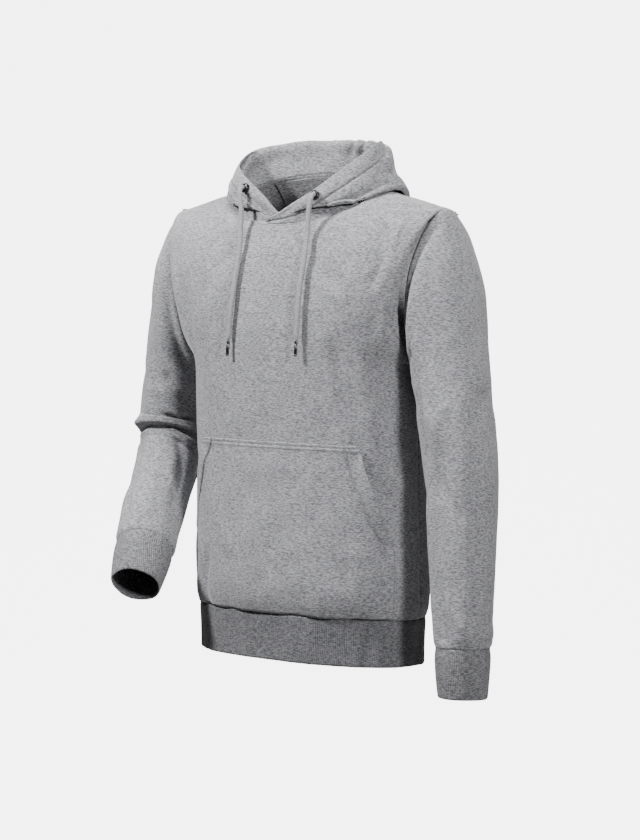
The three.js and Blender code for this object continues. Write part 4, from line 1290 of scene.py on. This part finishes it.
def make_pocket():
    """The front's own points, moved out by the cloth, by the gape of the slanted openings and by a
    soft puff, less the grooves of the stitching."""
    z = np.linspace(POCKET_FOOT, POCKET_TOP, 170)
    share = spread(190)
    across, height = np.meshgrid(share, z, indexing="ij")
    climb = (height - POCKET_OPENING_END) / (POCKET_TOP - POCKET_OPENING_END)
    top_reach = np.where(across < 0, POCKET_TOP_REACH["right"], POCKET_TOP_REACH["left"])
    reach = mix(POCKET_SIDE_REACH, top_reach, np.clip(climb, 0, 1) ** 0.85)
    up = (height - HEM_SEAM) / (ARMPIT - HEM_SEAM)
    base = dressed_body(-1, across * reach, up)
    normals = normals_of(base)
    slit = np.where((climb > 0) & (climb < 1), np.sin(np.pi * np.clip(climb, 0, 1)), 0) ** 0.8
    gape = np.where(across < 0, POCKET_GAPE["right"], POCKET_GAPE["left"]) * slit * np.abs(across) ** 10
    hold = ease(from_edge(base, "top"), 4, 45) * ease(from_edge(base, "bottom"), 4, 40)
    hold *= ease(from_edge(base, "start"), 3, 40) * ease(from_edge(base, "end"), 3, 40)
    puff = mix(0.6, 2.4, ease(across, -0.7, 0)) * hold
    soft = creases(POCKET_CREASES, base[..., 0], base[..., 2] + LEAN * base[..., 0]) * (0.25 + 0.75 * hold)
    lift = CLOTH + 0.6 + gape + puff + soft
    side_away = np.minimum(from_edge(base, "start"), from_edge(base, "end"))
    is_slit = ease(climb, -0.04, 0.02)
    groove = 1.5 * bell(side_away - POCKET_HEM, 1.7) * is_slit + bell(side_away - 3, 1.5) * (1 - is_slit)
    groove = groove + 1.1 * bell(from_edge(base, "top") - 4, 1.7)
    doubled = 1.1 * (1 - ease(side_away, POCKET_HEM - 3, POCKET_HEM)) * is_slit
    doubled = doubled + 0.9 * (1 - ease(from_edge(base, "top"), 8, 10))
    points = base + normals * (lift + doubled - groove)[..., None]
    normals = normals_of(points)
    piece = shell("pocket", points, normals, CLOTH, open_edges=("start", "end", "top", "bottom"))
    dress(piece, "kangaroo_pocket", fleece)
    return points, normals


pocket_points, pocket_normals = make_pocket()
print("pocket grid", pocket_points.shape[:2])

# %% Neck facing
FACING_HALF_WIDTH = 0.41
FACING_TOP = 1.985
FACING_DROP = 0.44
FACING_CLOTH = 1.2
FACING_EDGES = ("bottom", "start", "end")
FACING_ROWS = (3, 9)


def make_facing():
    """A half moon of the back's own points, moved in, with a raised line at each row of stitching."""
    across, row = np.meshgrid(np.linspace(-1, 1, 120), np.linspace(0, 1, 70), indexing="ij")
    drop = FACING_DROP * np.sqrt(1 - 0.93 * across**2)
    up = mix(FACING_TOP - drop, FACING_TOP, row)
    base = dressed_body(1, across * FACING_HALF_WIDTH, up)
    normals = normals_of(base, flip=True)
    points = base - normals * (CLOTH + 0.5)
    away = np.minimum.reduce([from_edge(points, edge) for edge in FACING_EDGES])
    groove = sum(bell(away - row, 1.2) for row in FACING_ROWS)
    points = points + normals * (0.4 * groove)[..., None]
    piece = shell("facing", points, normals, FACING_CLOTH, flip=True, open_edges=FACING_EDGES)
    dress(piece, "neck_facing", fleece)
    return points, normals


facing_points, facing_normals = make_facing()
print("facing grid", facing_points.shape[:2])

# %% [markdown]
# ## Stitching
# Topstitching holds the seams flat: a single row along the tunnel of the hood, round the armholes
# and under the neck, and twin rows on the pocket's top, on its slanted hems and on the facing. A
# pattern in the material would blur up close. Each stitch is a bead of 18 faces, laid along a path
# at a set distance from a piece's edge.

# %% Paths and beads


def edge_path(points, normals, edge, distance):
    """Places and directions on a grid along a line at a set distance from one of its edges."""
    away = from_edge(points, edge)
    if edge in ("start", "end"):
        points, normals, away = points.transpose(1, 0, 2), normals.transpose(1, 0, 2), away.T
    if edge in ("end", "top"):
        points, normals, away = points[:, ::-1], normals[:, ::-1], away[:, ::-1]
    distance = np.broadcast_to(distance, len(points))
    row = [min(np.searchsorted(a, d), len(a) - 1) for a, d in zip(away, distance)]
    after = np.maximum(np.array(row), 1)
    k = np.arange(len(points))
    share = (distance - away[k, after - 1]) / np.maximum(away[k, after] - away[k, after - 1], 1e-6)
    share = np.clip(share, 0, 1)[:, None]
    at = mix(points[k, after - 1], points[k, after], share)
    return at, mix(normals[k, after - 1], normals[k, after], share)


STITCH = columns(
    "along swell height",
    [[-0.5, 0.25, -0.45], [-0.36, 0.9, 0.12], [0, 1, 0.3], [0.36, 0.9, 0.12], [0.5, 0.25, -0.45]],
)
STITCH_LENGTH = 0.86
STITCH_FLATNESS = 0.8


def stitches(name, paths, pitch=3.3, thread_width=0.75):
    """Short rounded stitches along paths: four-sided beads that dip into the cloth at their ends."""
    lengthwise = STITCH["along"] * pitch * STITCH_LENGTH
    swell = STITCH["swell"] * thread_width / 2
    flat_swell = swell * STITCH_FLATNESS
    height = STITCH["height"]
    turn = np.arange(4) * np.pi / 2
    beads = []
    for points, normals in paths:
        run = np.insert(np.cumsum(np.linalg.norm(np.diff(points, axis=0), axis=-1)), 0, 0)
        places = np.arange(pitch / 2, run[-1], pitch)
        at = np.stack([np.interp(places, run, points[:, n]) for n in range(3)], -1)
        up = unit(np.stack([np.interp(places, run, normals[:, n]) for n in range(3)], -1))
        ahead = np.stack([np.interp(places + 0.8, run, points[:, n]) for n in range(3)], -1) - at
        ahead = unit(ahead - up * (ahead * up).sum(-1, keepdims=True))
        beside = np.cross(up, ahead)
        ring = (
            ahead[:, None, None] * lengthwise[None, None, :, None]
            + beside[:, None, None] * (np.cos(turn)[:, None] * swell[None])[None, ..., None]
            + up[:, None, None] * (np.sin(turn)[:, None] * flat_swell[None] + height)[None, ..., None]
        )
        beads.append((at[:, None, None] + ring).reshape(-1, 3))
    vertices = np.concatenate(beads)
    one = np.concatenate([grid_quads(4, 5, True, False), [[15, 10, 5, 0], [4, 9, 14, 19]]])
    count = len(vertices) // 20
    quads = (one[None] + 20 * np.arange(count)[:, None, None]).reshape(-1, 4)
    piece = make_mesh(name, vertices, quads)
    dress(piece, None, thread)
    return count


# %% Stitching


def on_span(path, low, high):
    """The part of a path between two shares of its points."""
    points, normals = path
    first, last = int(low * len(points)), int(high * len(points))
    return points[first:last], normals[first:last]


def make_stitching():
    """Every row of stitches, each along a path at its distance from an edge."""
    counts = {}
    panels = ((front_points, front_normals), (back_points, back_normals))
    tunnels = []
    for points, normals, away, line in hood_grids.values():
        tunnels.append(on_span(edge_path(points, normals, "top", line[:, 0]), 0.06, 0.995))
    counts["tunnel"] = stitches("tunnel_stitching", tunnels)
    necks = [on_span(edge_path(*panel, "top", 5), 0.03, 0.97) for panel in panels]
    counts["neck and shoulders"] = stitches("neck_stitching", necks)
    sides = [(panel, edge) for panel in panels for edge in ("start", "end")]
    armholes = [on_span(edge_path(*panel, edge, 5.5), 0.57, 0.985) for panel, edge in sides]
    counts["armholes"] = stitches("armhole_stitching", armholes)
    slits = []
    for edge in ("start", "end"):
        for distance in (POCKET_HEM, POCKET_HEM + 4.5):
            slits.append(on_span(edge_path(pocket_points, pocket_normals, edge, distance), 0.36, 0.985))
        slits.append(on_span(edge_path(pocket_points, pocket_normals, edge, 3), 0.03, 0.42))
    for distance in (3.5, 8.5):
        slits.append(on_span(edge_path(pocket_points, pocket_normals, "top", distance), 0.02, 0.98))
    counts["pocket"] = stitches("pocket_stitching", slits)
    facing = []
    for row in FACING_ROWS:
        facing.append(on_span(edge_path(facing_points, -facing_normals, "bottom", row), 0.03, 0.97))
    counts["facing"] = stitches("facing_stitching", facing)
    return counts


print("stitches:", make_stitching())

# %% [markdown]
# ## Stage and light
# A pale sweep of paper lies below and rises far behind. White paper near the garment would fill its
# shadows, so only the far part behind it glows, and it stays grey elsewhere. The key lamp stands at
# image left and gives the cords their shadows. A weaker one at image right lights the hanging sleeve,
# one above reaches into the neck, and one behind lifts the shoulders.

# %% Stage
FLOOR = -2.2
SWEEP_RUN = (-4, 12)
SWEEP_RISES_AT = 7.5
SWEEP_HALF_WIDTH = 6
PAPER_GREY = 0.5
BACKDROP_GLOW = 5.5
GLOW_BEHIND = (5.0, 6.5)
GLOW_BESIDE = (2.1, 3.0)


def paper_material():
    """Matt grey paper that glows only far behind the garment and not far to the sides."""
    paper = bpy.data.materials.new("paper")
    paper.use_nodes = True
    tree = paper.node_tree
    surface = tree.nodes["Principled BSDF"]
    surface.inputs["Base Color"].default_value = (PAPER_GREY, PAPER_GREY, PAPER_GREY, 1)
    surface.inputs["Roughness"].default_value = 0.9
    surface.inputs["Emission Color"].default_value = (1, 1, 1, 1)
    place = node(tree, "ShaderNodeTexCoord").outputs["Object"]
    ways = []
    for way in (-TOWARDS_CAMERA, IMAGE_RIGHT):
        along = node(tree, "ShaderNodeVectorMath", [(place, 0), (tuple(way), 1)], operation="DOT_PRODUCT")
        ways.append(along.outputs["Value"])
    far = [(ways[0], "Value"), (GLOW_BEHIND[0], "From Min"), (GLOW_BEHIND[1], "From Max")]
    behind = node(tree, "ShaderNodeMapRange", far)
    beside = node(tree, "ShaderNodeMath", [(ways[1], 0)], operation="ABSOLUTE")
    near = [(beside.outputs[0], "Value"), (GLOW_BESIDE[0], "From Min"), (GLOW_BESIDE[1], "From Max")]
    middle = node(tree, "ShaderNodeMapRange", [*near, (BACKDROP_GLOW, "To Min"), (0, "To Max")])
    masks = [(behind.outputs[0], 0), (middle.outputs[0], 1)]
    glow = node(tree, "ShaderNodeMath", masks, operation="MULTIPLY")
    tree.links.new(glow.outputs[0], surface.inputs["Emission Strength"])
    return paper


def make_stage():
    """A sheet that runs level away from the camera and then rises as a parabola."""
    run = np.linspace(*SWEEP_RUN, 60)
    rise = 0.5 * np.maximum(run - SWEEP_RISES_AT, 0) ** 2
    across, along = np.meshgrid([-SWEEP_HALF_WIDTH, 0, SWEEP_HALF_WIDTH], run, indexing="ij")
    points = across[..., None] * IMAGE_RIGHT - along[..., None] * TOWARDS_CAMERA
    points[..., 2] = FLOOR + rise
    sweep = make_mesh("sweep", points.reshape(-1, 3) / MM, grid_quads(3, len(run), False, False))
    sweep.data.materials.append(paper_material())


make_stage()
print("the paper runs", SWEEP_RUN[1] - SWEEP_RUN[0], "m")

# %% Lamps
LAMP_AIM = (0, 0, -0.3)


def add_lamp(name, turn, climb, away, size, power):
    """A square lamp aimed at the chest, placed by its angle from the camera's axis (image right is
    above 0), its angle above the horizon, and its distance."""
    turn, climb = math.radians(turn), math.radians(climb)
    level = TOWARDS_CAMERA * math.cos(turn) + IMAGE_RIGHT * math.sin(turn)
    aim = np.array(LAMP_AIM)
    place = aim + away * (level * math.cos(climb) + UP * math.sin(climb))
    light = bpy.data.lights.new(name, "AREA")
    light.size = size
    light.energy = power
    lamp = bpy.data.objects.new(name, light)
    lamp.location = place
    way = aim - place
    pitch = math.atan2(math.hypot(way[0], way[1]), -way[2])
    heading = math.atan2(way[0], way[1])
    lamp.rotation_euler = (pitch, 0, -heading)
    bpy.context.scene.collection.objects.link(lamp)
    return lamp


# Turn and climb in degrees, distance and size in metres, power in watts
LAMPS = {
    "key": (-68, 38, 2.4, 0.3, 138),
    "side": (29, 18, 2.4, 0.35, 62),
    "top": (8, 76, 2.2, 0.6, 62),
    "back": (-150, 50, 2.4, 0.8, 24),
}
ROOM_GLOW = 0.03

for name, (turn, climb, away, size, power) in LAMPS.items():
    add_lamp(name, turn, climb, away, size, power)
world = bpy.data.worlds.new("room")
world.use_nodes = True
world.node_tree.nodes["Background"].inputs["Color"].default_value = (1, 1, 1, 1)
world.node_tree.nodes["Background"].inputs["Strength"].default_value = ROOM_GLOW
bpy.context.scene.world = world
print("lamps:", list(LAMPS))
